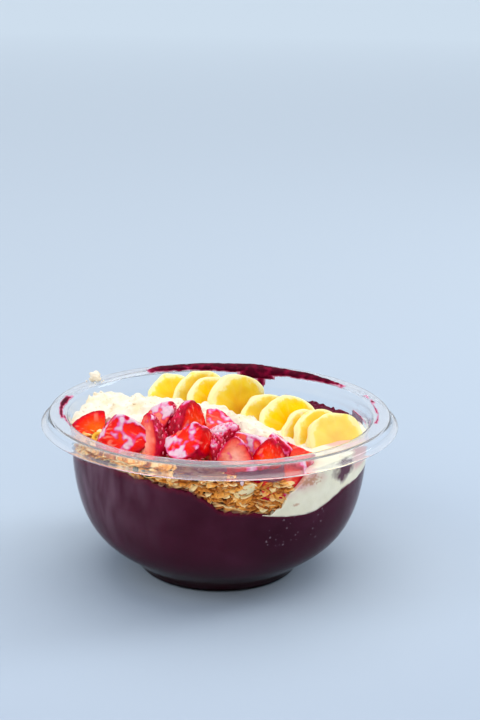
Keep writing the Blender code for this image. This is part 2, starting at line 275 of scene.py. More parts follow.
outside = body_outside(30)
foot, body = rounded(offset(outside, -WALL)[:6], 0.5 * MM)[:-1], offset(outside, -WALL)[5:]
under_foot = rounded(outside[:6], 0.5 * MM)[:-1] + outside[5:]
rim = rounded(rim_top(), 1.2 * MM)
under_rim = rounded(offset(rim_top(), WALL), 1.2 * MM)
outline = foot + body + rim + under_rim[::-1] + under_foot[::-1]
bowl = finished("bowl_sheet", turned(outline, 160), clear_pet, "clear_pet", "bowl")
bowl.data.materials.append(milky_pet_partly_painted_reflection)
bowl.data.materials.append(whitened_pet_partly_painted_reflection)
bowl.data.materials.append(foot_pet)
# The ring and the lip take the whitest sheet and the upper wall the faintly milky one: partly the sheet's own
# whitening, partly painted reflection.
for face in bowl.data.polygons:
    r, z = face.center.xy.length, face.center.z
    ring = r > BODY_RADIUS + 2.0 * MM and z > RIM_HEIGHT - 1.4 * MM
    if ring or r > RIM_RADIUS - 2.6 * MM:
        face.material_index = 2
    elif z > 66 * MM:
        face.material_index = 1
    elif z < FOOT_HEIGHT + 3.0 * MM:
        face.material_index = 3

# --- The acai -------------------------------------------------------------------------------------------
# Frozen acai pulp, blended smooth and spooned in. It wets the wall, so its side reaches just into the
# PET, and its top is a low dome with a pocket at the front right. It is one turned solid.

# Heights in millimetres along the wall, by azimuth from the front: the top of the acai, and the tops of
# the cream that fills its pocket and of the granola beside it.
ACAI_LINE = ((-180, 62), (-72, 59), (-45, 64), (-12, 60), (4, 50), (34, 46), (58, 53), (78, 54), (110, 65), (180, 62))
CREAM_LINE = ((16, 46), (23, 51), (27, 58), (38, 66), (70, 68), (96, 66), (114, 63))
GRANOLA_LINE = ((-92, 62), (-74, 70), (-20, 69), (0, 66), (20, 64), (34, 59))
ACAI_AT_WALL = 62.0 * MM
ACAI_DOME = 5.0 * MM
LAYER_INNER_RADIUS = 30.0 * MM
WETTING = 0.12 * MM


def lumps(x, y, size, height):
    return height * noise.noise(Vector((x / size, y / size, 0.5)))


def level_along(line, degrees):
    """The height where the azimuth falls on the line, eased from each point to the next."""
    for (start, low), (end, high) in zip(line, line[1:]):
        if degrees <= end:
            return (low + (high - low) * smooth_step(start, end, degrees)) * MM
    return line[-1][1] * MM


def acai_level(x, y):
    r = math.hypot(x, y)
    at_wall = level_along(ACAI_LINE, azimuth(x, y))
    dome = ACAI_AT_WALL + ACAI_DOME * (1 - (r / BODY_RADIUS) ** 2)
    near_wall = smooth_step(LAYER_INNER_RADIUS, 58 * MM, r)
    return dome + (at_wall - dome) * near_wall + lumps(x, y, 14 * MM, 0.8 * MM)


def layer_level(line, below, x, y):
    """A layer reaches its line at the wall, and thins out to what lies below it towards the middle."""
    r, side = math.hypot(x, y), azimuth(x, y)
    if not line[0][0] < side < line[-1][0]:
        return below
    near_wall = smooth_step(LAYER_INNER_RADIUS - 6 * MM, 50 * MM, r)
    return below + max(level_along(line, side) - below, 0) * near_wall


def cream_level(x, y):
    return layer_level(CREAM_LINE, acai_level(x, y), x, y)


def granola_level(x, y):
    return layer_level(GRANOLA_LINE, cream_level(x, y), x, y)


def acai_surface(x, y):
    """The level with the soft swirls that the spoon left, and a slightly ragged line along the wall."""
    r = math.hypot(x, y)
    swirls = lumps(x + 0.4 * y, y, 9 * MM, 0.9 * MM) + lumps(x, y, 3 * MM, 0.35 * MM)
    ragged = 0.1 if 17 < azimuth(x, y) < 110 else 1.3
    line = lumps(x, y, 2.4 * MM, ragged * MM) + lumps(x, y, 1.1 * MM, 0.5 * ragged * MM)
    return acai_level(x, y) + swirls * smooth_step(0, 20 * MM, BODY_RADIUS - r) + line


# Acai pulp: very dark red-purple, smooth and moist, paler and matter where frost has formed on it.
acai_pulp, tree, output = new_material("frozen_acai_pulp")
place = add_node(tree, "ShaderNodeTexCoord").outputs["Object"]
clouds = add_node(tree, "ShaderNodeTexNoise", {"Vector": place, "Scale": 55.0, "Detail": 4.0, "Roughness": 0.6})
deep = ramp(tree, clouds.outputs[0], ((0.3, "341020"), (0.55, "40182A"), (0.75, "4C2236")))
bare = add_node(tree, "ShaderNodeAttribute", attribute_name="bare").outputs["Fac"]
red = add_node(tree, "ShaderNodeMix", {0: bare, 6: deep, 7: rgb("5C0E28")}, data_type="RGBA").outputs[2]
frost = add_node(tree, "ShaderNodeAttribute", attribute_name="frost").outputs["Fac"]
frosted = add_node(tree, "ShaderNodeMix", {0: frost, 6: red, 7: rgb("6A5060")}, data_type="RGBA").outputs[2]
# Painted shade: the pulp's colour is darkened towards the foot.
low = add_node(tree, "ShaderNodeAttribute", attribute_name="low").outputs["Fac"]
colour = add_node(tree, "ShaderNodeMix", {0: low, 6: frosted, 7: rgb("1A080E")}, data_type="RGBA").outputs[2]
bump = add_node(
    tree, "ShaderNodeBump", {"Height": clouds.outputs[0], "Strength": 0.1, "Distance": 0.5 * MM}
)
gloss = add_node(
    tree, "ShaderNodeMapRange", {"Value": clouds.outputs[0], 1: 0.35, 2: 0.7, 3: 0.28, 4: 0.5}
)
pulp = add_node(
    tree,
    "ShaderNodeBsdfPrincipled",
    {
        "Base Color": colour,
        "Roughness": gloss.outputs[0],
        "Specular IOR Level": 0.05,
        "Normal": bump.outputs[0],
    },
)
tree.links.new(pulp.outputs[0], output.inputs["Surface"])

SIDE_STEPS = 480
bm = bmesh.new()
low_side = [(r, z - WETTING) for r, z in offset(outside, -WALL)[:4]]
low_side += [(r + WETTING, z) for r, z in INSIDE if z < 44 * MM]
columns = []
centre_low = bm.verts.new((0, 0, low_side[0][1]))
centre_high = bm.verts.new((0, 0, acai_surface(0, 0)))
for k in range(SIDE_STEPS):
    side = 360 * k / SIDE_STEPS
    column = [bm.verts.new(round_the_bowl(side, r, z)) for r, z in low_side[1:]]
    spot = round_the_bowl(side, inner_radius(ACAI_AT_WALL), 0)
    top_z = acai_surface(spot.x, spot.y)
    for j in range(1, 9):
        z = low_side[-1][1] + (top_z - low_side[-1][1]) * j / 8
        column.append(bm.verts.new(round_the_bowl(side, inner_radius(z) + WETTING, z)))
    wall = inner_radius(top_z) + WETTING
    for j in range(1, 48):
        spot = round_the_bowl(side, wall * (1 - j / 48), 0)
        column.append(bm.verts.new((spot.x, spot.y, acai_surface(spot.x, spot.y))))
    columns.append(column)
for k, column in enumerate(columns):
    beside = columns[(k + 1) % SIDE_STEPS]
    bm.faces.new((centre_low, column[0], beside[0]))
    bm.faces.new((centre_high, column[-1], beside[-1]))
    for j in range(len(column) - 1):
        bm.faces.new((column[j], column[j + 1], beside[j + 1], beside[j]))
bmesh.ops.recalc_face_normals(bm, faces=bm.faces)
acai = finished("acai_fill", bm, acai_pulp, "acai", "acai")


def bare_acai(co):
    """Redder where the pulp is thin: on its open top, and along the line it leaves on the wall."""
    return smooth_step(1.4 * MM, 0, acai_level(co.x, co.y) - co.z)


def frost_on_wall(co):
    """Cloudy upright streaks of frost high on the wall at the front left, and faint ones at the right."""
    side, z = azimuth(co.x, co.y), co.z / MM
    streaks = 0.55 + 0.7 * noise.noise(Vector((side / 4.5, z / 14, 1))) + 0.3 * noise.noise(Vector((side / 1.4, z / 5, 5)))
    left = smooth_step(-8, -62, side) * smooth_step(16, 48, z)
    right = 0.5 * smooth_step(50, 66, side) * smooth_step(112, 90, side) * smooth_step(25, 45, z)
    return 0.9 * min(max(streaks, 0), 1) * max(left if side > -130 else 0, right)


def painted_shade_near_foot(co):
    """Painted shade: darker towards the foot, standing in for the shade low in the bowl."""
    return 0.9 * smooth_step(26, 4, co.z / MM)


def store(obj, name, value_at):
    """Stores a number on each vertex, worked out from where it is."""
    attribute = obj.data.attributes.new(name, "FLOAT", "POINT")
    attribute.data.foreach_set("value", [value_at(vert.co) for vert in obj.data.vertices])


store(acai, "bare", bare_acai)
store(acai, "frost", frost_on_wall)
store(acai, "low", painted_shade_near_foot)

# --- The cream ------------------------------------------------------------------------------------------
# Thick milk cream spooned into the acai's pocket. It touches the wall too. Where it meets the acai it is
# streaked with it, and where the strawberries press on it it is stained pink.


def layer(top, bottom, start, end, columns, rows, wall_rows, reach):
    """A closed layer between two azimuths: over its top, down the wall and back under."""
    bm = bmesh.new()
    loops = []
    for i in range(columns + 1):
        side = start + (end - start) * i / columns
        at_wall = round_the_bowl(side, inner_radius(60 * MM) + reach, 0)
        high, low = top(at_wall.x, at_wall.y), bottom(at_wall.x, at_wall.y) - 0.3 * MM
        high = max(high, low + 0.3 * MM)
        spots = []
        for j in range(rows + 1):
            r = LAYER_INNER_RADIUS + (inner_radius(high) + reach - LAYER_INNER_RADIUS) * j / rows
            spot = round_the_bowl(side, r, 0)
            spots.append((spot.x, spot.y, max(top(spot.x, spot.y), bottom(spot.x, spot.y))))
        for j in range(1, wall_rows + 1):
            z = high + (low - high) * j / wall_rows
            spots.append(round_the_bowl(side, inner_radius(z) + reach, z))
        for j in range(rows, -1, -1):
            r = LAYER_INNER_RADIUS + (inner_radius(low) + reach - LAYER_INNER_RADIUS) * j / rows
            spot = round_the_bowl(side, r, 0)
            if j < rows:
                spots.append((spot.x, spot.y, bottom(spot.x, spot.y) - 0.6 * MM))
        loops.append([bm.verts.new(spot) for spot in spots])
    for loop, beside in zip(loops, loops[1:]):
        for j in range(len(loop)):
            k = (j + 1) % len(loop)
            bm.faces.new((loop[j], loop[k], beside[k], beside[j]))
    bm.faces.new(loops[0])
    bm.faces.new(loops[-1])
    bmesh.ops.recalc_face_normals(bm, faces=bm.faces)
    return bm


def cream_surface(x, y):
    return cream_level(x, y) + lumps(x, y, 6 * MM, 0.7 * MM)


def acai_in_cream(co):
    """How much acai shows in the cream: along its lower edge, and in one blotch where a spoonful ran up."""
    side, z = azimuth(co.x, co.y), co.z / MM
    waver = 3 * noise.noise(co / (3.5 * MM)) + 1.2 * noise.noise(co / (1.2 * MM))
    blotch = 1 - math.hypot((side - 54) / 8.5, (z - 61) / 5.8) + 0.12 * waver
    edge = (level_along(ACAI_LINE, side) / MM + 0.3 + 0.15 * waver - z) / 0.8
    return min(max(blotch * 1.9, edge, 0), 1)


def berry_juice(co):
    """Pink where the strawberries lie on the cream, and past the blotch."""
    side, z = azimuth(co.x, co.y), co.z / MM
    waver = noise.noise(co / (4 * MM))
    under_fruit = smooth_step(44, 30, side + 6 * waver) * smooth_step(54, 62, z + 3 * waver)
    past_blotch = smooth_step(58, 64, side + 4 * waver) * (1 - smooth_step(78, 90, side)) * smooth_step(56, 60, z)
    return min(0.8 * under_fruit + 0.65 * past_blotch, 1)


def oat_stain(co):
    """Granular orange-brown specks where crumbs and juice ran onto the cream's upper left."""
    side, z = azimuth(co.x, co.y), co.z / MM
    grains = noise.noise(co / (0.9 * MM)) + 0.5 * noise.noise(co / (2.5 * MM))
    near = max(1 - math.hypot((side - 35) / 6, (z - 61.5) / 3.6), 0)
    streak = max(1 - math.hypot((side - 29.5) / 2.6, (z - 51.5) / 1.0), 0)
    return 0.75 * smooth_step(0.25, 0.75, near + 0.8 * grains * (near > 0)) + 0.6 * smooth_step(0.2, 0.7, streak + 0.5 * grains * (streak > 0))


# Milk cream: off-white, opaque and smooth, with a soft sheen.
milk_cream, tree, output = new_material("milk_cream")
place = add_node(tree, "ShaderNodeTexCoord").outputs["Object"]
folds = add_node(tree, "ShaderNodeTexNoise", {"Vector": place, "Scale": 160.0, "Detail": 3.0})
plain = ramp(tree, folds.outputs[0], ((0.3, "ECE6CC"), (0.7, "F6F0DA")))
juice = add_node(tree, "ShaderNodeAttribute", attribute_name="juice").outputs["Fac"]
stained = add_node(
    tree, "ShaderNodeMix", {0: juice, 6: plain, 7: rgb("D58A96")}, data_type="RGBA"
).outputs[2]
crumbed = add_node(tree, "ShaderNodeAttribute", attribute_name="crumbs").outputs["Fac"]
stained = add_node(
    tree, "ShaderNodeMix", {0: crumbed, 6: stained, 7: rgb("C08058")}, data_type="RGBA"
).outputs[2]
streaks = add_node(tree, "ShaderNodeAttribute", attribute_name="acai").outputs["Fac"]
colour = add_node(
    tree, "ShaderNodeMix", {0: streaks, 6: stained, 7: rgb("5A2C40")}, data_type="RGBA"
).outputs[2]
bump = add_node(
    tree, "ShaderNodeBump", {"Height": folds.outputs[0], "Strength": 0.3, "Distance": 0.6 * MM}
)
cream_shader = add_node(
    tree,
    "ShaderNodeBsdfPrincipled",
    {
        "Base Color": colour,
        "Roughness": 0.38,
        "Specular IOR Level": 0.3,
        "Subsurface Weight": 0.15,
        "Subsurface Radius": (1.0, 0.8, 0.6),
        "Subsurface Scale": 1.5 * MM,
        "Normal": bump.outputs[0],
    },
)
tree.links.new(cream_shader.outputs[0], output.inputs["Surface"])

bm = layer(cream_surface, acai_level, 16, 114, 200, 40, 36, WETTING + 0.02 * MM)
cream = finished("cream_layer", bm, milk_cream, "cream", "cream")
store(cream, "acai", acai_in_cream)
store(cream, "juice", berry_juice)
store(cream, "crumbs", oat_stain)

# --- The granola ----------------------------------------------------------------------------------------
# Toasted oat flakes and syrup clusters, loose, along the front wall under the strawberries. A core of
# crumbs fills the heap, painted dark: partly their own toasted brown, partly painted shade for the gaps
# between the flakes. Real flakes lie over its top and stand against the wall in front of it.


def scatter(surface, name, kinds, material, spacing, smallest, largest, tilt, lift, seed):
    """Strews the kinds over the surface where its attribute "strewn" is set, and returns a plain mesh.
    Each kind's Z follows the surface's normal, turned upwards by the lift."""
    tree = bpy.data.node_groups.new(name, "GeometryNodeTree")
    face = tree.interface
    face.new_socket("Geometry", in_out="INPUT", socket_type="NodeSocketGeometry")
    face.new_socket("Geometry", in_out="OUTPUT", socket_type="NodeSocketGeometry")
    named = {"Spacing": spacing, "Smallest": smallest, "Largest": largest, "Tilt": tilt, "Lift": lift}
    sockets = {
        label: face.new_socket(label, in_out="INPUT", socket_type="NodeSocketFloat") for label in named
    }
    inputs = add_node(tree, "NodeGroupInput").outputs
    strewn = add_node(tree, "GeometryNodeInputNamedAttribute", {"Name": "strewn"}, data_type="FLOAT")
    points = add_node(
        tree,
        "GeometryNodeDistributePointsOnFaces",
        {
            "Mesh": inputs["Geometry"],
            "Distance Min": inputs["Spacing"],
            "Density Max": 4e6,
            "Density Factor": strewn.outputs["Attribute"],
            "Seed": seed,
        },
        distribute_method="POISSON",
    )
    most = add_node(tree, "ShaderNodeCombineXYZ", {0: inputs["Tilt"], 1: inputs["Tilt"], 2: 6.2832})
    back = add_node(tree, "ShaderNodeVectorMath", {0: most.outputs[0], 1: (-1, -1, 0)}, operation="MULTIPLY")
    turn = add_node(
        tree,
        "FunctionNodeRandomValue",
        {0: back.outputs[0], 1: most.outputs[0], "Seed": seed + 1},
        data_type="FLOAT_VECTOR",
    )
    upwards = add_node(tree, "ShaderNodeCombineXYZ", {2: inputs["Lift"]})
    facing = add_node(
        tree,
        "ShaderNodeVectorMath",
        {0: points.outputs["Normal"], 1: upwards.outputs[0]},
        operation="ADD",
    )
    aligned = add_node(
        tree, "FunctionNodeAlignRotationToVector", {"Vector": facing.outputs[0]}, axis="Z"
    )
    spin = add_node(
        tree,
        "FunctionNodeRotateRotation",
        {"Rotation": aligned.outputs[0], "Rotate By": turn.outputs[0]},
        rotation_space="LOCAL",
    )
    size = add_node(
        tree,
        "FunctionNodeRandomValue",
        {2: inputs["Smallest"], 3: inputs["Largest"], "Seed": seed + 2},
        data_type="FLOAT",
    )
    shelf = bpy.data.collections.new(name + "_kinds")
    bpy.context.scene.collection.children.link(shelf)
    for kind in kinds:
        shelf.objects.link(kind)
    pick = add_node(
        tree,
        "GeometryNodeCollectionInfo",
        {"Collection": shelf, "Separate Children": True, "Reset Children": True},
    )
    placed = add_node(
        tree,
        "GeometryNodeInstanceOnPoints",
        {
            "Points": points.outputs["Points"],
            "Instance": pick.outputs[0],
            "Pick Instance": True,
            "Rotation": spin.outputs[0],
            "Scale": size.outputs[1],
        },
    )
    shade = add_node(tree, "FunctionNodeRandomValue", {"Seed": seed + 3}, data_type="FLOAT")
    shaded = add_node(
        tree,
        "GeometryNodeStoreNamedAttribute",
        {"Geometry": placed.outputs[0], "Name": "shade", "Value": shade.outputs[1]},
        data_type="FLOAT",
        domain="INSTANCE",
    )
    real = add_node(tree, "GeometryNodeRealizeInstances", {"Geometry": shaded.outputs[0]})
    finish = add_node(
        tree, "GeometryNodeSetMaterial", {"Geometry": real.outputs[0], "Material": material}
    )
    result = add_node(tree, "NodeGroupOutput")
    tree.links.new(finish.outputs[0], result.inputs[0])

    modifier = surface.modifiers.new(name, "NODES")
    modifier.node_group = tree
    for label, value in named.items():
        modifier[sockets[label].identifier] = value
    graph = bpy.context.evaluated_depsgraph_get()
    mesh = bpy.data.meshes.new_from_object(surface.evaluated_get(graph), depsgraph=graph)
    surface.modifiers.clear()
    for kind in kinds:
        bpy.data.objects.remove(kind)
    bpy.data.collections.remove(shelf)
    bm = bmesh.new()
    bm.from_mesh(mesh)
    return bm


def kept_inside(bm, clear):
    """Pushes what would reach through the wall back to its inner face, as the wall does."""
    for vert in bm.verts:
        r = math.hypot(vert.co.x, vert.co.y)
        most = inner_radius(vert.co.z) - clear
        if r > most:
            vert.co.x *= most / r
            vert.co.y *= most / r
    return bm


def strewn_over(obj, how_much):
    store(obj, "strewn", how_much)
    return obj


def oat_flake(name, length, width, seed):
    """A rolled oat: a thin oval, cupped along its length, with the groain's crease down one face."""
    bm = bmesh.new()
    bmesh.ops.create_uvsphere(bm, u_segments=14, v_segments=6, radius=1)
    for vert in bm.verts:
        x, y, z = vert.co
        ragged = 1 + 0.16 * noise.noise(Vector((2.5 * x, 2.5 * y, seed)))
        crease = -0.3 * math.exp(-((y / 0.25) ** 2)) * (z > 0.3)
        cupped = 0.35 * y * y + 0.2 * math.sin(2 * x + seed)
        vert.co = Vector((x * length / 2 * ragged, y * width / 2 * ragged, 0)) * MM
        vert.co.z = (0.38 * z + crease + cupped) * MM
    mesh = bpy.data.meshes.new(name)
    bm.to_mesh(mesh)
    bm.free()
    mesh.shade_smooth()
    return bpy.data.objects.new(name, mesh)


def clump(name, seed, roughness, fineness=2):
    """A lump of crumbs stuck together, one unit in radius."""
    bm = bmesh.new()
    bmesh.ops.create_icosphere(bm, subdivisions=fineness, radius=1)
    for vert in bm.verts:
        bumps = noise.noise(vert.co * 1.3 + Vector((seed, 0, 0))) + 0.6 * noise.noise(vert.co * 3 + Vector((0, seed, 0)))
        vert.co *= 1 + roughness * bumps
    mesh = bpy.data.meshes.new(name)
    bm.to_mesh(mesh)
    bm.free()
    return bpy.data.objects.new(name, mesh)


def toasted(name, dark, mid, light):
    """Toasted oats: dry and matt with a little syrup, each flake its own shade, darker in its crease."""
    material, tree, output = new_material(name)
    place = add_node(tree, "ShaderNodeTexCoord").outputs["Object"]
    shade = add_node(tree, "ShaderNodeAttribute", attribute_name="shade").outputs["Fac"]
    fibre = add_node(tree, "ShaderNodeTexNoise", {"Vector": place, "Scale": 700.0, "Detail": 4.0})
    mixed = add_node(tree, "ShaderNodeMath", {0: shade, 1: fibre.outputs[0]}, operation="ADD")
    halved = add_node(tree, "ShaderNodeMath", {0: mixed.outputs[0], 1: 0.5}, operation="MULTIPLY")
    oats = ramp(tree, halved.outputs[0], ((0.25, dark), (0.5, mid), (0.72, light)))
    stained = add_node(tree, "ShaderNodeAttribute", attribute_name="stained").outputs["Fac"]
    colour = add_node(
        tree, "ShaderNodeMix", {0: stained, 6: oats, 7: rgb("521826")}, data_type="RGBA"
    ).outputs[2]
    bump = add_node(
        tree, "ShaderNodeBump", {"Height": fibre.outputs[0], "Strength": 0.5, "Distance": 0.25 * MM}
    )
    shader = add_node(
        tree,
        "ShaderNodeBsdfPrincipled",
        {
            "Base Color": colour,
            "Roughness": 0.5,
            "Specular IOR Level": 0.25,
            "Subsurface Weight": 0.1,
            "Subsurface Radius": (1.0, 0.6, 0.3),
            "Subsurface Scale": 0.8 * MM,
            "Normal": bump.outputs[0],
        },
    )
    tree.links.new(shader.outputs[0], output.inputs["Surface"])
    return material


def granola_core_top(x, y):
    return granola_level(x, y) - 1.2 * MM + lumps(x, y, 4 * MM, 1.2 * MM)


def on_granola(co):
    """The top and the wall side of the core, where it is thick enough to hold flakes."""
    depth = granola_level(co.x, co.y) - cream_level(co.x, co.y)
    return float(depth > 1.8 * MM and co.z > cream_level(co.x, co.y) - 0.5 * MM)


def stained_by_acai(co):
    """Flakes that lie on the acai have taken it up."""
    ragged = 1.2 * noise.noise(co / (2 * MM)) * MM
    return 0.9 * smooth_step(1.8 * MM, 0.2 * MM, co.z + ragged - acai_level(co.x, co.y))


# The crumb core's dark browns are partly painted shade, standing for the gaps between the flakes.
crumb_darkened_as_gap_shade = toasted("toasted_oat_crumb", "3A1C08", "6E3C12", "9A5C20")
oat_flakes = toasted("toasted_oat_flakes", "A85418", "FFAE4C", "FFE2A8")
bm = layer(granola_core_top, cream_level, -91, 33, 180, 40, 20, -2.4 * MM)
granola_core = finished("granola_core", bm, crumb_darkened_as_gap_shade, "granola", "granola")
strewn_over(granola_core, on_granola)
flakes = [oat_flake(f"flake_{i}", 9.4 - i, 3.8 - 0.3 * i, 7 * i) for i in range(3)]
bm = scatter(granola_core, "flakes", flakes, oat_flakes, 1.7 * MM, 0.75, 1.15, 0.4, 2.4, 11)
granola_flakes = finished("granola_flakes", kept_inside(bm, 0.1 * MM), oat_flakes, "granola")
store(granola_flakes, "stained", stained_by_acai)
crumbs = [clump(f"crumb_{i}", 3 * i, 0.5, 1) for i in range(3)]
bm = scatter(granola_core, "crumbs", crumbs, oat_flakes, 3.2 * MM, 0.4 * MM, 1.2 * MM, 3.0, 0.0, 17)
granola_crumbs = finished("granola_crumbs", kept_inside(bm, 0.1 * MM), oat_flakes, "granola")

# --- The milk powder ------------------------------------------------------------------------------------
# Whole milk powder, heaped against the left wall and running as a low strip between the strawberries and
# the banana slices. It clings in crumbs, so a relief of lumps carries loose clumps of all sizes.

FRONT_OF_MILK = [Vector(p) * MM for p in ((-70, -6, 0), (-30, -12, 0), (14, -22, 0), (52, -40, 0))]
BACK_OF_MILK = [Vector(p) * MM for p in ((-54, 50, 0), (-30, 30, 0), (12, 6, 0), (64, -26, 0))]
MILK_COLUMNS, MILK_ROWS = 240, 96


def milk_level(across, x, y):
    heap = 10.0 * MM + 5.5 * MM * smooth_step(-10 * MM, -60 * MM, x) - 8.5 * MM * smooth_step(0, 40 * MM, x)
    edges = math.sin(math.pi * (0.12 + 0.76 * across))
    return granola_level(x, y) + heap * edges + lumps(x, y, 7 * MM, 1.6 * MM)


bm = bmesh.new()
bmesh.ops.create_grid(bm, x_segments=MILK_COLUMNS, y_segments=MILK_ROWS, size=0.5)
front_line = interpolate_bezier(*FRONT_OF_MILK, MILK_COLUMNS + 1)
back_line = interpolate_bezier(*BACK_OF_MILK, MILK_COLUMNS + 1)
for vert in bm.verts:
    u, v = vert.co.x + 0.5, vert.co.y + 0.5
    i = round(u * MILK_COLUMNS)
    x, y = front_line[i].lerp(back_line[i], v).xy
    crumbly = 2.0 * noise.noise(Vector((x, y, 0)) / (4.2 * MM)) + 0.8 * noise.noise(Vector((x, y, 9)) / (1.9 * MM))
    z = milk_level(v, x, y) + (crumbly - 0.4) * MM - 2.5 * MM * smooth_step(34 * MM, 44 * MM, x)
    vert.co = (x, y, max(z, granola_level(x, y) - 1 * MM))
rim_edges = [edge for edge in bm.edges if edge.is_boundary]
lowered = bmesh.ops.extrude_edge_only(bm, edges=rim_edges)["geom"]
for vert in [v for v in lowered if isinstance(v, bmesh.types.BMVert)]:
    vert.co.z = min(granola_level(vert.co.x, vert.co.y) - 2.5 * MM, vert.co.z - 1 * MM)
bmesh.ops.holes_fill(bm, edges=[edge for edge in bm.edges if edge.is_boundary])
bmesh.ops.recalc_face_normals(bm, faces=bm.faces)
kept_inside(bm, -0.05 * MM)


# Milk powder: warm white, quite matt, each clump a little yellower or whiter than the next.
dry_milk, tree, output = new_material("whole_milk_powder")
place = add_node(tree, "ShaderNodeTexCoord").outputs["Object"]
tint = add_node(tree, "ShaderNodeTexNoise", {"Vector": place, "Scale": 170.0, "Detail": 3.0})
colour = ramp(tree, tint.outputs[0], ((0.3, "ECDCB6"), (0.45, "F0E5CE"), (0.65, "F3ECDC")))
dust = add_node(tree, "ShaderNodeTexNoise", {"Vector": place, "Scale": 1400.0, "Detail": 4.0})
bump = add_node(
    tree, "ShaderNodeBump", {"Height": dust.outputs[0], "Strength": 0.3, "Distance": 0.12 * MM}
)
powder = add_node(
    tree,
    "ShaderNodeBsdfPrincipled",
    {
        "Base Color": colour,
        "Roughness": 0.85,
        "Specular IOR Level": 0.2,
        "Normal": bump.outputs[0],
    },
)
tree.links.new(powder.outputs[0], output.inputs["Surface"])

milk_core = finished("milk_powder_core", bm, dry_milk, "milk_powder", "milk_powder")
strewn_over(milk_core, lambda co: float(co.z > granola_level(co.x, co.y) - 0.5 * MM))
grains = [clump(f"grain_{i}", 5 * i, 0.12, 1) for i in range(3)]
bm = scatter(milk_core, "grains", grains, dry_milk, 3.4 * MM, 0.2 * MM, 0.45 * MM, 3.0, 0.0, 23)
milk_grains = finished("milk_powder_grains", kept_inside(bm, 0), dry_milk, "milk_powder")
lumps_of_milk = [clump(f"lump_{i}", 4 * i + 1, 0.18, 3) for i in range(3)]
bm = scatter(milk_core, "clumps", lumps_of_milk, dry_milk, 9.0 * MM, 0.4 * MM, 0.9 * MM, 3.0, 0.0, 31)
milk_clumps = finished("milk_powder_clumps", kept_inside(bm, 0), dry_milk, "milk_powder")

# --- The strawberries -----------------------------------------------------------------------------------
# Ripe strawberries, cut into halves and wedges with a knife and dropped in a heap. Each piece is a whole
# berry's body cut flat by each stroke, with seeds in dimples on its skin and milk run over its top.

# Centre, direction of the tip, (length, width) of the whole berry, and the knife cuts: each the outward
# normal of the cut face and its distance from the berry's middle. Millimetres. Then how ripe and how
# milky the piece is.
BERRY_PIECES = (
    ((-60, -15, 71), (-1, -0.1, 0), (22, 18), (((0.2, -0.75, 0.65), 0.5), ((1, 0, 0), 4), ((0, 0.3, -1), 5)), 0.7, 0.0),
    ((-42, -37, 76), (1, -0.3, 0), (26, 20), (((-0.1, -0.9, 0.4), 2), ((-0.8, -0.1, 0.6), 7.5), ((0, 0.3, -1), 5)), 1.0, 0.66),
    ((-30, -44, 77), (0.1, 0.2, 1), (26, 23), (((-0.85, -0.55, 0.25), 1), ((0.1, 1, 0), 5), ((0, 0, -1), 5)), 0.3, 0.3),
    ((-27, -24, 79), (0.7, 0.3, 0.6), (18, 15), (((-0.5, -0.5, 0.6), 1), ((0, 0.5, -1), 4)), 0.6, 0.7),
    ((-14, -32, 79), (-0.1, 0.1, 1), (27, 25), (((0.8, -0.6, 0.25), 2.5), ((0, 1, 0), 5), ((0, 0, -1), 5)), 0.9, 0.35),
    ((-13, -51, 75), (1, 0, 0.1), (24, 20), (((-0.5, -0.6, 0.7), 3.5), ((0, 1, 0.1), 4), ((0.85, -0.5, 0.2), 6.5)), 1.0, 0.55),
    ((1, -23, 76), (1, -0.3, -0.3), (20, 16), (((0.2, -0.5, 0.9), 2), ((-1, 0, 0), 5), ((0, 0.2, -1), 4)), 0.9, 0.4),
    ((2, -36, 74), (0.5, -0.3, 0.8), (18, 16), (((0.3, 1, 0), 2), ((0, 0, -1), 5)), 0.9, 0.6),
    ((-1, -47, 72), (0, 0.2, 1), (18, 13), (((-0.9, -0.4, 0), 4), ((0, 0, -1), 5)), 0.8, 0.5),
    ((6.5, -55, 72.5), (0, 0.3, 1), (20, 17), (((-0.1, -0.95, 0.3), 1), ((0, 1, 0), 4), ((0, 0, -1), 5)), 0.1, 0.5),
    ((14, -44, 72), (-0.3, 0.2, 1), (22, 20), (((0.2, 0.3, 1), 6), ((-0.5, -0.8, 0.3), 4), ((0, 0, -1), 6)), 0.5, 0.8),
    ((21, -54, 72), (0.1, 0.2, 1), (21, 18), (((-0.5, -0.8, 0.3), 2), ((0.7, -0.6, 0.2), 4), ((0, 0, -1), 5)), 0.8, 0.2),
    ((26, -42, 72), (0.3, 0.2, 1), (20, 17), (((0.6, 0.1, 0.8), 4), ((-0.6, 0.5, 0), 3), ((0, 0, -1), 5)), 0.55, 0.7),
    ((33, -46, 70), (0.8, 0.2, 0.5), (20, 16), (((-0.2, -0.8, 0.5), 2), ((0.4, 0.4, 0.8), 4), ((0, 0, -1), 4)), 0.9, 0.2),
    ((8, -59, 64), (-1, 0.2, 0), (26, 15), (((0, 0.3, 1), 3), ((0.1, 1, 0), 2), ((1, 0, 0), 9)), 0.8, 0.3),
    ((27.5, -54.5, 61.5), (1, 0.5, 0.2), (32, 21), (((0.45, -0.9, 0.1), 6), ((-0.3, 0.4, 1), 6), ((-0.5, 0.8, 0), 3), ((-1, -0.3, 0), 9)), 0.6, 0.6),
)


# Cut while half ripe, so orange; and pressed to the wall by their smooth side, so without seeds showing.
ORANGE_PIECES = (1, 5, 12)
SMOOTH_PIECES = (1, 2, 15, 16)


def shoulder(along):
    """How a berry narrows towards its tip; along runs from -0.5 at the stalk to 0.5 at the tip."""
    return 1.0 - 0.38 * smooth_step(-0.2, 0.55, along)


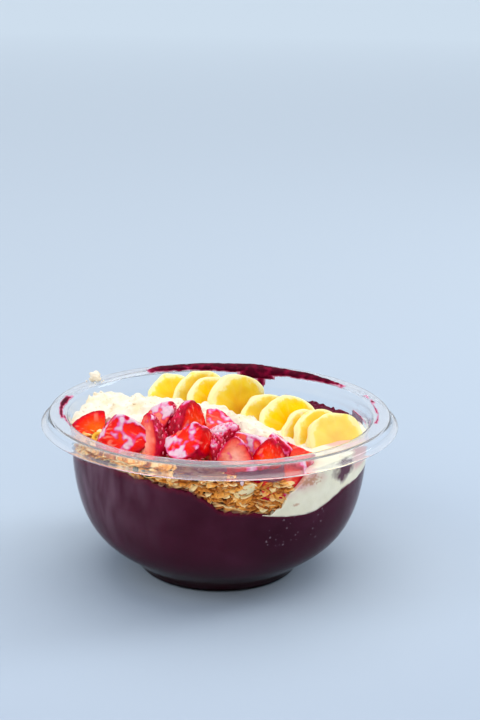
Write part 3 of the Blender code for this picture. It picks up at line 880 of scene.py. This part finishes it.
def cut_berry(length, width, turn, cuts):
    """The berry's body in millimetres, turned to its tip and cut; its middle is the origin."""
    bm = bmesh.new()
    bmesh.ops.create_uvsphere(bm, u_segments=40, v_segments=28, radius=0.5)
    for vert in bm.verts:
        narrowed = width * shoulder(vert.co.z)
        vert.co = turn @ Vector((vert.co.x * narrowed, vert.co.y * narrowed, vert.co.z * length))
    for normal, distance in cuts:
        normal = Vector(normal).normalized()
        everything = bm.verts[:] + bm.edges[:] + bm.faces[:]
        spot = normal * distance
        bmesh.ops.bisect_plane(bm, geom=everything, plane_co=spot, plane_no=normal, clear_outer=True)
        bmesh.ops.holes_fill(bm, edges=[edge for edge in bm.edges if edge.is_boundary])
    return bm


def softened(bm, voxel):
    """Remeshed evenly and smoothed, which eases the knife's edges."""
    mesh = bpy.data.meshes.new("blank")
    bm.to_mesh(mesh)
    bm.free()
    blank = bpy.data.objects.new("blank", mesh)
    bpy.context.scene.collection.objects.link(blank)
    remesh = blank.modifiers.new("even", "REMESH")
    remesh.mode = "VOXEL"
    remesh.voxel_size = voxel
    smooth = blank.modifiers.new("ease", "SMOOTH")
    smooth.iterations = 3
    graph = bpy.context.evaluated_depsgraph_get()
    result = bpy.data.meshes.new_from_object(blank.evaluated_get(graph), depsgraph=graph)
    bpy.data.objects.remove(blank)
    bm = bmesh.new()
    bm.from_mesh(result)
    return bm


def strawberry_material():
    """Cut strawberry: glossy crimson skin, wet orange-red flesh that pales towards the core in rays, and
    milk on top that has taken up the juice."""
    material, tree, output = new_material("cut_strawberry")
    place = add_node(tree, "ShaderNodeTexCoord").outputs["Object"]
    depth = add_node(tree, "ShaderNodeAttribute", attribute_name="out").outputs["Fac"]
    ripe = add_node(tree, "ShaderNodeAttribute", attribute_name="ripe").outputs["Fac"]
    glaze = add_node(tree, "ShaderNodeAttribute", attribute_name="glaze").outputs["Fac"]
    rays = add_node(tree, "ShaderNodeAttribute", attribute_name="rays").outputs["Fac"]
    mottle = add_node(tree, "ShaderNodeTexNoise", {"Vector": place, "Scale": 260.0, "Detail": 3.0})
    waver = add_node(
        tree, "ShaderNodeMath", {0: mottle.outputs[0], 1: 0.24, 2: -0.12}, operation="MULTIPLY_ADD"
    )
    moved = add_node(tree, "ShaderNodeMath", {0: depth, 1: waver.outputs[0]}, operation="ADD")
    pale = ramp(tree, moved.outputs[0], ((0.2, "FFC4B0"), (0.5, "FC9C84"), (0.8, "F85E4C"), (0.95, "E01838")))
    red = ramp(tree, moved.outputs[0], ((0.15, "FF4A0C"), (0.45, "FC2004"), (0.8, "E80606"), (0.95, "BC021C")))
    flesh = add_node(tree, "ShaderNodeMix", {0: ripe, 6: pale, 7: red}, data_type="RGBA").outputs[2]
    orange = add_node(tree, "ShaderNodeAttribute", attribute_name="orange").outputs["Fac"]
    amber = ramp(tree, moved.outputs[0], ((0.15, "FF6404"), (0.5, "FF3A02"), (0.8, "F40C06"), (0.95, "C0021E")))
    flesh = add_node(tree, "ShaderNodeMix", {0: orange, 6: flesh, 7: amber}, data_type="RGBA").outputs[2]
    rayed = add_node(tree, "ShaderNodeMix", {0: rays, 6: flesh, 7: rgb("FF9A80")}, data_type="RGBA").outputs[2]
    skin = ramp(tree, mottle.outputs[0], ((0.35, "98001E"), (0.55, "C0022E"), (0.75, "E4104A")))
    at_skin = add_node(tree, "ShaderNodeMapRange", {"Value": depth, 1: 0.93, 2: 0.98}).outputs[0]
    fruit = add_node(tree, "ShaderNodeMix", {0: at_skin, 6: rayed, 7: skin}, data_type="RGBA").outputs[2]
    streaked = add_node(
        tree, "ShaderNodeMath", {0: mottle.outputs[0], 1: 1.3, 2: -0.68}, operation="MULTIPLY_ADD"
    )
    thickness = add_node(tree, "ShaderNodeMath", {0: glaze, 1: streaked.outputs[0]}, operation="ADD")
    milk = ramp(tree, thickness.outputs[0], ((0.2, "EE1458"), (0.5, "E468A4"), (0.9, "E6C8D6")))
    cover = add_node(tree, "ShaderNodeMapRange", {"Value": thickness.outputs[0], 1: 0.12, 2: 0.4}).outputs[0]
    colour = add_node(tree, "ShaderNodeMix", {0: cover, 6: fruit, 7: milk}, data_type="RGBA").outputs[2]
    pulp = add_node(tree, "ShaderNodeTexNoise", {"Vector": place, "Scale": 650.0, "Detail": 3.0})
    bump = add_node(
        tree, "ShaderNodeBump", {"Height": pulp.outputs[0], "Strength": 0.5, "Distance": 0.4 * MM}
    )
    shader = add_node(
        tree,
        "ShaderNodeBsdfPrincipled",
        {
            "Base Color": colour,
            "Roughness": 0.25,
            "Specular IOR Level": 0.12,
            "Subsurface Weight": 0.06,
            "Subsurface Radius": (1.0, 0.2, 0.1),
            "Subsurface Scale": 1.0 * MM,
            "Normal": bump.outputs[0],
        },
    )
    tree.links.new(shader.outputs[0], output.inputs["Surface"])
    return material


cut_strawberry = strawberry_material()
seeds = bmesh.new()
for index, (centre, tip, (length, width), cuts, ripe, milky) in enumerate(BERRY_PIECES, start=1):
    turn = UP.rotation_difference(Vector(tip)).to_matrix()
    bm = cut_berry(length, width, turn, cuts)
    lows, highs = [[pick(v.co[i] for v in bm.verts) for i in range(3)] for pick in (min, max)]
    middle = Vector(centre) - (Vector(lows) + Vector(highs)) / 2
    bm = softened(bm, 0.4)

    # Seeds stand in a spiral round the berry, about 2 mm apart, each in its own dimple.
    spots = []
    for k in range(120):
        along = 0.48 - 0.96 * (k + 0.5) / 120
        around = k * 2.39996
        girth = math.sqrt(0.25 - along * along) * width * shoulder(along)
        spot = turn @ Vector((girth * math.cos(around), girth * math.sin(around), along * length))
        clear = all(Vector(normal).normalized().dot(spot) < distance - 0.8 for normal, distance in cuts)
        if clear and index not in SMOOTH_PIECES:
            spots.append(spot)
    tree = KDTree(len(spots) or 1)
    for k, spot in enumerate(spots):
        tree.insert(spot, k)
    tree.balance()

    outs, rays, glazes = [], [], []
    bm.normal_update()
    for vert in bm.verts:
        local = turn.transposed() @ vert.co
        narrowed = width * shoulder(min(max(local.z / length, -0.5), 0.5))
        out = 2 * Vector((local.x / narrowed, local.y / narrowed, local.z / length)).length
        outs.append(out)
        around = math.atan2(local.y, local.x)
        streak = noise.noise(Vector((4 * math.cos(around), 4 * math.sin(around), local.z / length * 9)))
        rays.append(0.55 * smooth_step(0.12, 0.4, streak) * smooth_step(0.3, 0.6, out) * (1 - smooth_step(0.75, 0.95, out)))
        world = vert.co + middle
        patches = noise.noise(world / 5) + 0.5 * noise.noise(world / 2)
        wet = patches * 1.6 + 1.5 * vert.normal.z + 1.9 * milky - 1.9
        glazes.append(smooth_step(-0.2, 1.1, wet))
    moves = []
    for vert, out, glaze in zip(bm.verts, outs, glazes):
        push = 0.3 * glaze + 0.3 * noise.noise(vert.co / 2.2) + 0.15 * noise.noise(vert.co / 0.9)
        if spots and out > 0.95:
            distance = tree.find(vert.co)[2]
            push -= 0.45 * (1 - smooth_step(0.2, 1.1, distance))
        moves.append(vert.co + vert.normal * push)
    for vert, place_ in zip(bm.verts, moves):
        vert.co = (place_ + middle) * MM
    name = f"strawberry_{index:02d}"
    piece = finished(name + "_piece", bm, cut_strawberry, "strawberry", name)
    for label, values in (("out", outs), ("rays", rays), ("glaze", glazes)):
        piece.data.attributes.new(label, "FLOAT", "POINT").data.foreach_set("value", values)
    store(piece, "ripe", lambda co: ripe)
    store(piece, "orange", lambda co: 1.0 if index in ORANGE_PIECES else 0.0)
    for spot in spots:
        outward = (turn @ Vector((*(turn.transposed() @ spot).xy, 0))).normalized()
        toward_tip = turn @ UP
        across = outward.cross(toward_tip).normalized()
        out_again = toward_tip.cross(across).normalized()
        made = bmesh.ops.create_uvsphere(seeds, u_segments=6, v_segments=4, radius=1)["verts"]
        for vert in made:
            x, y, z = vert.co
            vert.co = spot - 0.1 * out_again + 0.42 * x * across + 0.3 * y * out_again + 0.75 * z * toward_tip
            vert.co = (vert.co + middle) * MM


# Strawberry seeds: small hard achenes, straw yellow to pink where juice has soaked in.
seed_coat, tree, output = new_material("strawberry_seed")
place = add_node(tree, "ShaderNodeTexCoord").outputs["Object"]
tint = add_node(tree, "ShaderNodeTexNoise", {"Vector": place, "Scale": 300.0})
colour = ramp(tree, tint.outputs[0], ((0.35, "FF6890"), (0.6, "F888A4"), (0.75, "F0A09C")))
coat = add_node(tree, "ShaderNodeBsdfPrincipled", {"Base Color": colour, "Roughness": 0.35})
tree.links.new(coat.outputs[0], output.inputs["Surface"])
strawberry_seeds = finished("strawberry_seeds", seeds, seed_coat, "strawberry")

# --- The banana slices ----------------------------------------------------------------------------------
# Ripe banana, peeled and sliced across, then laid leaning on each other in a row. Each slice is a disc, a
# little three-sided, with a soft edge.

# Centre, azimuth and rise of the cut face's normal in degrees, radius and thickness. Millimetres.
BANANA_SLICES = (
    ((-22.5, 36, 66.8), 24, 34, 14.0, 6.5),
    ((-10.5, 32, 71.0), 28, 12, 13.5, 6.0),
    ((-3.5, 26, 69.0), 38, 22, 14.5, 6.0),
    ((7.5, 20, 70.0), 34, 11, 16.0, 7.5),
    ((22.0, 9, 65.4), 26, 14, 14.5, 7.0),
    ((32.5, -1, 66.2), 22, 28, 15.4, 7.0),
    ((40.0, -8, 63.0), 30, 22, 14.0, 5.5),
    ((45.0, -13, 66.0), 36, 24, 13.5, 6.5),
    ((52.0, -20, 66.5), 28, 26, 14.0, 6.5),
)

# Banana flesh: moist, waxy and translucent; saturated yellow on the cut face with pale rays, paler at the
# rim, with three faint lobes and a few tiny dark seeds in the middle.
banana_flesh, tree, output = new_material("banana_flesh")
disc = add_node(tree, "ShaderNodeAttribute", attribute_name="disc").outputs["Vector"]
pale_slice = add_node(tree, "ShaderNodeAttribute", attribute_name="pale").outputs["Fac"]
axes = add_node(tree, "ShaderNodeSeparateXYZ", {0: disc})
flat = add_node(tree, "ShaderNodeCombineXYZ", {0: axes.outputs[0], 1: axes.outputs[1]})
radius = add_node(tree, "ShaderNodeVectorMath", {0: flat.outputs[0]}, operation="LENGTH").outputs["Value"]
place = add_node(tree, "ShaderNodeTexCoord").outputs["Object"]
mottle = add_node(tree, "ShaderNodeTexNoise", {"Vector": place, "Scale": 240.0, "Detail": 3.0})
waver = add_node(tree, "ShaderNodeMath", {0: mottle.outputs[0], 1: 0.5, 2: -0.25}, operation="MULTIPLY_ADD")
moved = add_node(tree, "ShaderNodeMath", {0: radius, 1: waver.outputs[0]}, operation="ADD")
face = ramp(
    tree, moved.outputs[0], ((0.1, "FFB600"), (0.35, "FFC600"), (0.7, "FFD508"), (0.86, "FFDF44"), (0.95, "FFF4B8"))
)
spoke = add_node(tree, "ShaderNodeVectorMath", {0: flat.outputs[0]}, operation="NORMALIZE")
seeded = add_node(tree, "ShaderNodeTexNoise", {"Vector": spoke.outputs[0], "Scale": 2.5, "Detail": 2.0})
spokes = add_node(tree, "ShaderNodeMapRange", {"Value": seeded.outputs[0], 1: 0.5, 2: 0.75, 4: 0.2})
outer = add_node(tree, "ShaderNodeMapRange", {"Value": radius, 1: 0.15, 2: 0.6})
rayed = add_node(tree, "ShaderNodeMath", {0: spokes.outputs[0], 1: outer.outputs[0]}, operation="MULTIPLY")
face = add_node(
    tree, "ShaderNodeMix", {0: rayed.outputs[0], 6: face, 7: rgb("FFEE9C")}, data_type="RGBA"
).outputs[2]
paler = add_node(tree, "ShaderNodeMix", {0: pale_slice, 6: face, 7: rgb("FFE896")}, data_type="RGBA").outputs[2]
fibres = add_node(
    tree, "ShaderNodeTexNoise", {"Vector": place, "Scale": 700.0, "Detail": 4.0, "Roughness": 0.65}
)
bump = add_node(tree, "ShaderNodeBump", {"Height": fibres.outputs[0], "Strength": 0.35, "Distance": 0.3 * MM})
flesh = add_node(
    tree,
    "ShaderNodeBsdfPrincipled",
    {
        "Base Color": paler,
        "Roughness": 0.35,
        "Specular IOR Level": 0.05,
        "Subsurface Weight": 0.35,
        "Subsurface Radius": (1.0, 0.7, 0.1),
        "Subsurface Scale": 2.5 * MM,
        "Normal": bump.outputs[0],
    },
)
tree.links.new(flesh.outputs[0], output.inputs["Surface"])

SLICE_SIDES = 72
for index, (centre, facing, rise, slice_radius, thickness) in enumerate(BANANA_SLICES, start=1):
    normal = round_the_bowl(facing, math.cos(math.radians(rise)), math.sin(math.radians(rise)))
    turn = UP.rotation_difference(normal).to_matrix()
    half, edge = thickness / 2, 0.7
    profile = [(slice_radius * k / 14, half) for k in range(14)]
    profile = [(min(r, slice_radius - edge), z) for r, z in profile]
    for k in range(1, 6):
        angle = math.radians(90 * k / 5)
        profile.append((slice_radius - edge + edge * math.sin(angle), half - edge + edge * math.cos(angle)))
    profile += [(slice_radius, half * t) for t in (0.3, 0)]
    profile += [(r, -0.2 * z) for r, z in profile[-2::-1]]
    bm = bmesh.new()
    rings, discs = [], {}
    for r, z in profile:
        ring = []
        for k in range(1 if r == 0 else SLICE_SIDES):
            angle = 2 * math.pi * k / SLICE_SIDES
            out = 1 + 0.03 * math.cos(3 * angle + index) + 0.02 * math.cos(2 * angle + 2 * index)
            ragged = 1 + 0.08 * noise.noise(Vector((2.5 * math.cos(angle), 2.5 * math.sin(angle), index + 0.2 * z)))
            spot = Vector((r * out * ragged * math.cos(angle), r * out * ragged * math.sin(angle), z))
            flatness = 0.7 * noise.noise(Vector((spot.x / 5, spot.y / 5, index * 3 + (z > 0))))
            vert = bm.verts.new((Vector(centre) + turn @ (spot + Vector((0, 0, flatness)))) * MM)
            discs[vert] = Vector((spot.x / slice_radius, spot.y / slice_radius, z / half))
            ring.append(vert)
        rings.append(ring)
    for low, high in zip(rings, rings[1:]):
        for k in range(SLICE_SIDES):
            corners = [low[k % len(low)], low[(k + 1) % SLICE_SIDES % len(low)]]
            corners += [high[(k + 1) % SLICE_SIDES % len(high)], high[k % len(high)]]
            bm.faces.new(dict.fromkeys(corners))
    bmesh.ops.recalc_face_normals(bm, faces=bm.faces)
    places = [component for vert in bm.verts for component in discs[vert]]
    name = f"banana_{index:02d}"
    piece = finished(name + "_slice", bm, banana_flesh, "banana", name)
    piece.data.attributes.new("disc", "FLOAT_VECTOR", "POINT").data.foreach_set("vector", places)
    store(piece, "pale", lambda co: 0.45 if index == 9 else 0.08 * (index % 3))

# --- Smears and drips -----------------------------------------------------------------------------------
# Acai that the spoon left on the rim and on the wall: films with ragged edges, dark where thick and pink
# where thin, and a drip. They lie on the PET's inner face.

# The bowl's inner face as (radius, height), from the body up over the ledge and out along the ring.
INNER_FACE = [spot for spot in INSIDE if spot[1] > 40 * MM] + rounded(rim_top()[:5], 1.2 * MM)
RING_EDGE = min(
    range(len(INNER_FACE)),
    key=lambda i: (Vector(INNER_FACE[i]) - Vector((BODY_RADIUS + 3.4 * MM, RIM_HEIGHT))).length,
)


def on_inner_face(degrees, along):
    """The spot at a distance outwards (or down, if negative) from the ring's inner edge, and its normal."""
    i, step, left = RING_EDGE, 1 if along > 0 else -1, abs(along)
    while 0 < i + step < len(INNER_FACE) - 1:
        length = (Vector(INNER_FACE[i + step]) - Vector(INNER_FACE[i])).length
        if left <= length:
            break
        left -= length
        i += step
    a, b = Vector(INNER_FACE[i]), Vector(INNER_FACE[i + step])
    run = (b - a).normalized()
    spot = a + run * left
    return round_the_bowl(degrees, *spot), round_the_bowl(degrees, -run.y * step, run.x * step)


def smear(bm, thins, start, end, low, high, thickness, seed, raggedness=0.5, taper=(1, 1)):
    """A film between two azimuths and two distances along the inner face, thinning to ragged edges."""
    columns = max(int(abs(end - start) * 2.4), 8)
    rows = max(int((high - low) / 0.3), 6)
    grid = {}
    for i in range(columns + 1):
        u = i / columns
        side = start + (end - start) * u
        wide = taper[0] + (taper[1] - taper[0]) * u
        for j in range(rows + 1):
            v = j / rows
            spot, normal = on_inner_face(side, (low + (high - low) * v) * MM)
            wave = noise.noise(spot / (7 * MM) + Vector((seed, 0, 0))) + 0.6 * noise.noise(spot / (2 * MM))
            ends = min(u, 1 - u) * abs(end - start) / 5
            edges = (0.5 * wide - abs(v - 0.5)) * (high - low) / 1.3
            grid[i, j] = (spot, normal, min(ends, edges, 1) - raggedness * (0.45 - wave))
    made = {}
    for i in range(columns):
        for j in range(rows):
            corners = [(i, j), (i + 1, j), (i + 1, j + 1), (i, j + 1)]
            if max(grid[corner][2] for corner in corners) <= 0:
                continue
            for corner in corners:
                if corner not in made:
                    spot, normal, body = grid[corner]
                    thick = thickness * smooth_step(-0.1, 0.8, body)
                    made[corner] = bm.verts.new(spot + normal * (thick * MM + 0.03 * MM))
                    made[corner][thins] = 1 - smooth_step(0.0, 0.55, body)
            bm.faces.new([made[corner] for corner in corners])


def closed_film(bm):
    """Gives the films an underside on the PET."""
    sheet = bm.faces[:]
    bmesh.ops.recalc_face_normals(bm, faces=sheet)
    bmesh.ops.solidify(bm, geom=sheet, thickness=0.1 * MM)
    bmesh.ops.recalc_face_normals(bm, faces=bm.faces)
    return bm


# A film of acai on PET: dark purple-red, moist, and pink where it thins out.
acai_film, tree, output = new_material("acai_film")
place = add_node(tree, "ShaderNodeTexCoord").outputs["Object"]
clouds = add_node(tree, "ShaderNodeTexNoise", {"Vector": place, "Scale": 260.0, "Detail": 3.0})
thin = add_node(tree, "ShaderNodeAttribute", attribute_name="thin").outputs["Fac"]
uneven = add_node(tree, "ShaderNodeMath", {0: clouds.outputs[0], 1: 1.7, 2: -0.78}, operation="MULTIPLY_ADD")
thinned = add_node(tree, "ShaderNodeMath", {0: thin, 1: uneven.outputs[0]}, operation="ADD")
colour = ramp(
    tree, thinned.outputs[0], ((0.0, "46021A"), (0.4, "7E0830"), (0.75, "A02850"), (0.98, "D490AC"))
)
film = add_node(
    tree,
    "ShaderNodeBsdfPrincipled",
    {"Base Color": colour, "Roughness": 0.35, "Specular IOR Level": 0.02},
)
tree.links.new(film.outputs[0], output.inputs["Surface"])

bm = bmesh.new()
thins = bm.verts.layers.float.new("thin")
smear(bm, thins, 122, 170, -4.8, 4.0, 0.8, 1, 0.5, (0.3, 1))
smear(bm, thins, 162, 212, -3.8, 5.0, 0.8, 6, 0.6, (1, 0.6))
smear(bm, thins, 156, 173, -7.0, 1.0, 0.8, 2, 0.12, (0.6, 0.9))
smear(bm, thins, 160.5, 165, -10.0, -3.0, 0.7, 9, 0.1, (0.9, 1))
smear(bm, thins, -104, -76, -0.8, 3.4, 0.6, 3, 0.35, (1, 0.25))
smear(bm, thins, -80, -66, -0.9, 0.9, 0.3, 12, 0.2, (0.8, 0.3))
smear(bm, thins, 74, 90, -0.4, 2.6, 0.4, 4, 0.7, (0.3, 0.9))
smear(bm, thins, 86, 100, -0.2, 1.2, 0.3, 5, 0.5, (0.9, 0.5))
smear(bm, thins, 98, 109, -0.2, 2.8, 0.4, 7, 0.8, (0.6, 0.7))
smear(bm, thins, 92, 110, -9.0, -8.5, 0.25, 8, 0, (0.4, 1))
smear(bm, thins, 148.4, 151, -13.2, -12.2, 0.3, 14, 0)
smears = finished("acai_smears", closed_film(bm), acai_film, "acai")

# The palest films: a translucent lilac-purple haze on the front and right of the wall.
haze, tree, output = new_material("thin_lilac_haze")
veil = add_node(
    tree,
    "ShaderNodeBsdfPrincipled",
    {"Base Color": rgb("7E3E60"), "Roughness": 0.4, "Specular IOR Level": 0.1, "Alpha": 0.55},
)
tree.links.new(veil.outputs[0], output.inputs["Surface"])
bm = bmesh.new()
thins = bm.verts.layers.float.new("thin")
smear(bm, thins, -17, 4, -11, -1.5, 0.2, 5, 0.95)
smear(bm, thins, 3, 25, -14, -6.0, 0.15, 22, 1.0, (0.5, 1))
smear(bm, thins, 97, 111, -13.5, -9.0, 0.15, 15, 0.3)
hazes = finished("acai_hazes", closed_film(bm), haze, "acai")


def lump(bm, middle, sizes, seed, roughness=0.25, fineness=3):
    """A rounded, uneven lump with its three half-sizes in millimetres."""
    made = bmesh.ops.create_icosphere(bm, subdivisions=fineness, radius=1)["verts"]
    for vert in made:
        bumps = noise.noise(vert.co * 1.4 + Vector((seed, 0, 0))) + 0.5 * noise.noise(vert.co * 3.5 + Vector((seed, 5, 0)))
        vert.co *= 1 + roughness * bumps
        vert.co = middle + Vector([size * MM * part for size, part in zip(sizes, vert.co)])


# A lump of milk powder that fell on the ring at the back left, with crumbs beside it.
bm = bmesh.new()
on_ring = round_the_bowl(-124, RIM_RADIUS - 8.0 * MM, RIM_HEIGHT)
lump(bm, on_ring + Vector((0, 0, 2.4 * MM)), (2.9, 2.9, 2.6), 3, 0.4, 4)
for k in range(7):
    crumb = on_ring + Vector((4.2 * math.cos(2.4 * k), 4.2 * math.sin(2.4 * k), 0.35)) * MM
    lump(bm, crumb, (0.4, 0.4, 0.35), k, 0.4, 2)
milk_on_rim = finished("milk_powder_on_rim", bm, dry_milk, "milk_powder")

# --- Odd bits -------------------------------------------------------------------------------------------
# What else shows among the granola and on the wall: a slice of pale nut and two green seeds pressed to
# the wall, a ring of puffed cereal, a drop of milky juice and specks of frost.


def plain_material(name, colour, roughness, specular=0.3):
    """One even colour and one gloss, for bits a few millimetres across."""
    material, tree, output = new_material(name)
    shader = add_node(
        tree,
        "ShaderNodeBsdfPrincipled",
        {"Base Color": rgb(colour), "Roughness": roughness, "Specular IOR Level": specular},
    )
    tree.links.new(shader.outputs[0], output.inputs["Surface"])
    return material


def against_wall(bm, side, z, across, up, depth, lean, seed):
    """A flat lump lying against the wall, leaning over by an angle in degrees."""
    start = len(bm.verts)
    lump(bm, Vector((0, 0, 0)), (across, depth, up), seed, 0.2)
    bm.verts.ensure_lookup_table()
    spot = round_the_bowl(side, inner_radius(z * MM) - depth * MM - 0.1 * MM, z * MM)
    turn = Matrix.Rotation(math.radians(side), 4, "Z") @ Matrix.Rotation(math.radians(lean), 4, "Y")
    for vert in bm.verts[start:]:
        vert.co = spot + turn @ vert.co


bm = bmesh.new()
against_wall(bm, 10, 60.8, 4.4, 2.2, 0.9, -25, 2)
nut = finished("nut_slice", kept_inside(bm, 0.05 * MM), plain_material("blanched_nut", "F0DDB0", 0.35), "granola")
bm = bmesh.new()
against_wall(bm, -27.5, 64.6, 2.6, 1.4, 0.6, 12, 5)
against_wall(bm, -32, 65.6, 1.8, 1.2, 0.6, -30, 8)
seeds_on_wall = finished("green_seeds", kept_inside(bm, 0.05 * MM), plain_material("pumpkin_seed", "3A3C22", 0.4), "granola")

bm = bmesh.new()
hoop = 20
for k in range(hoop):
    for m in range(10):
        around, over = 2 * math.pi * k / hoop, 2 * math.pi * m / 10
        out = 2.0 + 1.0 * math.cos(over)
        bm.verts.new(Vector((out * math.cos(around), out * math.sin(around), 0.9 * math.sin(over))) * MM)
bm.verts.ensure_lookup_table()
for k in range(hoop):
    for m in range(10):
        n, o = (k + 1) % hoop, (m + 1) % 10
        bm.faces.new([bm.verts[i] for i in (k * 10 + m, n * 10 + m, n * 10 + o, k * 10 + o)])
lay = Matrix.Translation(Vector((-54.0, -30.5, 71.0)) * MM) @ Matrix.Rotation(math.radians(55), 4, "X")
bmesh.ops.transform(bm, matrix=lay, verts=bm.verts)
bmesh.ops.recalc_face_normals(bm, faces=bm.faces)
cereal = finished("cereal_ring", bm, plain_material("puffed_cereal", "F5B830", 0.45), "granola")

bm = bmesh.new()
against_wall(bm, 8.2, 64.6, 0.8, 1.7, 0.5, 0, 4)
drop = finished("milky_drop", kept_inside(bm, 0.05 * MM), plain_material("milky_juice", "F3D3D8", 0.15, 0.5), "cream")

bm = bmesh.new()
chance = random.Random(4)
for k in range(34):
    side, z = chance.uniform(18, 45), chance.uniform(31, 47)
    spot = round_the_bowl(side, inner_radius(z * MM) + 0.12 * MM, z * MM)
    size = chance.uniform(0.15, 0.55)
    lump(bm, spot, (size, 0.12, size * chance.uniform(0.5, 1.4)), k, 0.3, 1)
specks = finished("frost_specks", bm, plain_material("frost_speck", "76626E", 0.5), "acai")

# --- Floor, light and camera ----------------------------------------------------------------------------
# A plain pale blue sweep in soft studio light. Its paint darkens towards the camera: painted shade.

floor_paint, tree, output = new_material("pale_blue_backdrop")
place = add_node(tree, "ShaderNodeTexCoord").outputs["Object"]
depth = add_node(tree, "ShaderNodeSeparateXYZ", {0: place}).outputs[1]
# Painted shade: the floor's colour is darkest near the camera and pales with distance behind the bowl.
painted_shade_distance = add_node(tree, "ShaderNodeMapRange", {"Value": depth, 1: -0.3, 2: 5.7}).outputs[0]
colour = ramp(tree, painted_shade_distance, ((0.0, "A8B6C6"), (0.06, "B0BFCE"), (0.15, "B2C0CD"), (1.0, "C4D3DE")))
paint = add_node(tree, "ShaderNodeBsdfPrincipled", {"Base Color": colour, "Roughness": 0.9, "Specular IOR Level": 0.1})
tree.links.new(paint.outputs[0], output.inputs["Surface"])
mesh = bpy.data.meshes.new("floor")
mesh.from_pydata([(-30, -30, 0), (30, -30, 0), (30, 30, 0), (-30, 30, 0)], [], [(0, 1, 2, 3)])
mesh.materials.append(floor_paint)
floor = bpy.data.objects.new("floor", mesh)
bpy.context.scene.collection.objects.link(floor)
floor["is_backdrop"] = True

# The room: white above, dimmer towards the horizon.
world = bpy.data.worlds.new("soft_room")
world.use_nodes = True
tree = world.node_tree
direction = add_node(tree, "ShaderNodeTexCoord").outputs["Generated"]
height = add_node(tree, "ShaderNodeSeparateXYZ", {0: direction}).outputs[2]
room = ramp(tree, height, ((0.0, "3C4450"), (0.2, "FFFFFF"), (0.4, "C4D8F6"), (1.0, "AEC8F4")))
tree.links.new(room, tree.nodes["Background"].inputs["Color"])
tree.nodes["Background"].inputs["Strength"].default_value = 0.62
bpy.context.scene.world = world


def sun(name, strength, angle, rise, side):
    """A soft, distant light that comes from a side, in degrees round from the front, and a height."""
    light = bpy.data.lights.new(name, "SUN")
    light.energy = strength
    light.angle = math.radians(angle)
    light.color = rgb("FFF4E2")[:3]
    lamp = bpy.data.objects.new(name, light)
    toward = round_the_bowl(side, math.cos(math.radians(rise)), math.sin(math.radians(rise)))
    lamp.matrix_world = toward.to_track_quat("Z", "Y").to_matrix().to_4x4()
    bpy.context.scene.collection.objects.link(lamp)


sun("overhead_softbox", 1.95, 66, 76, 155)
sun("front_softbox", 1.45, 80, 24, -20)


def softbox(name, place, across, down, watts):
    """A rectangle of light that shows as a soft highlight on the PET."""
    light = bpy.data.lights.new(name, "AREA")
    light.shape = "RECTANGLE"
    light.energy = watts
    light.size, light.size_y = across, down
    lamp = bpy.data.objects.new(name, light)
    toward = Vector(place) - Vector((0, 0, 0.05))
    lamp.matrix_world = Matrix.Translation(place) @ toward.to_track_quat("Z", "Y").to_matrix().to_4x4()
    bpy.context.scene.collection.objects.link(lamp)


softbox("left_softbox", (-1.4, -0.3, 1.0), 0.7, 0.7, 5.0)
softbox("right_softbox", (1.3, 0.4, 0.9), 0.5, 0.7, 7.5)

camera = bpy.data.objects.new("camera", bpy.data.cameras.new("camera"))
camera.data.lens = 70
camera.data.sensor_width = 36
pan = Matrix.Rotation(math.radians(-0.817), 4, "Z")
pitch = Matrix.Rotation(math.radians(90 - 15.494), 4, "X")
roll = Matrix.Rotation(math.radians(0.96), 4, "Z")
camera.matrix_world = Matrix.Translation((0, -0.62085, 0.27147)) @ pan @ pitch @ roll
bpy.context.scene.collection.objects.link(camera)
bpy.context.scene.camera = camera
bpy.context.scene.view_settings.view_transform = "Standard"

low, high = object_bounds()
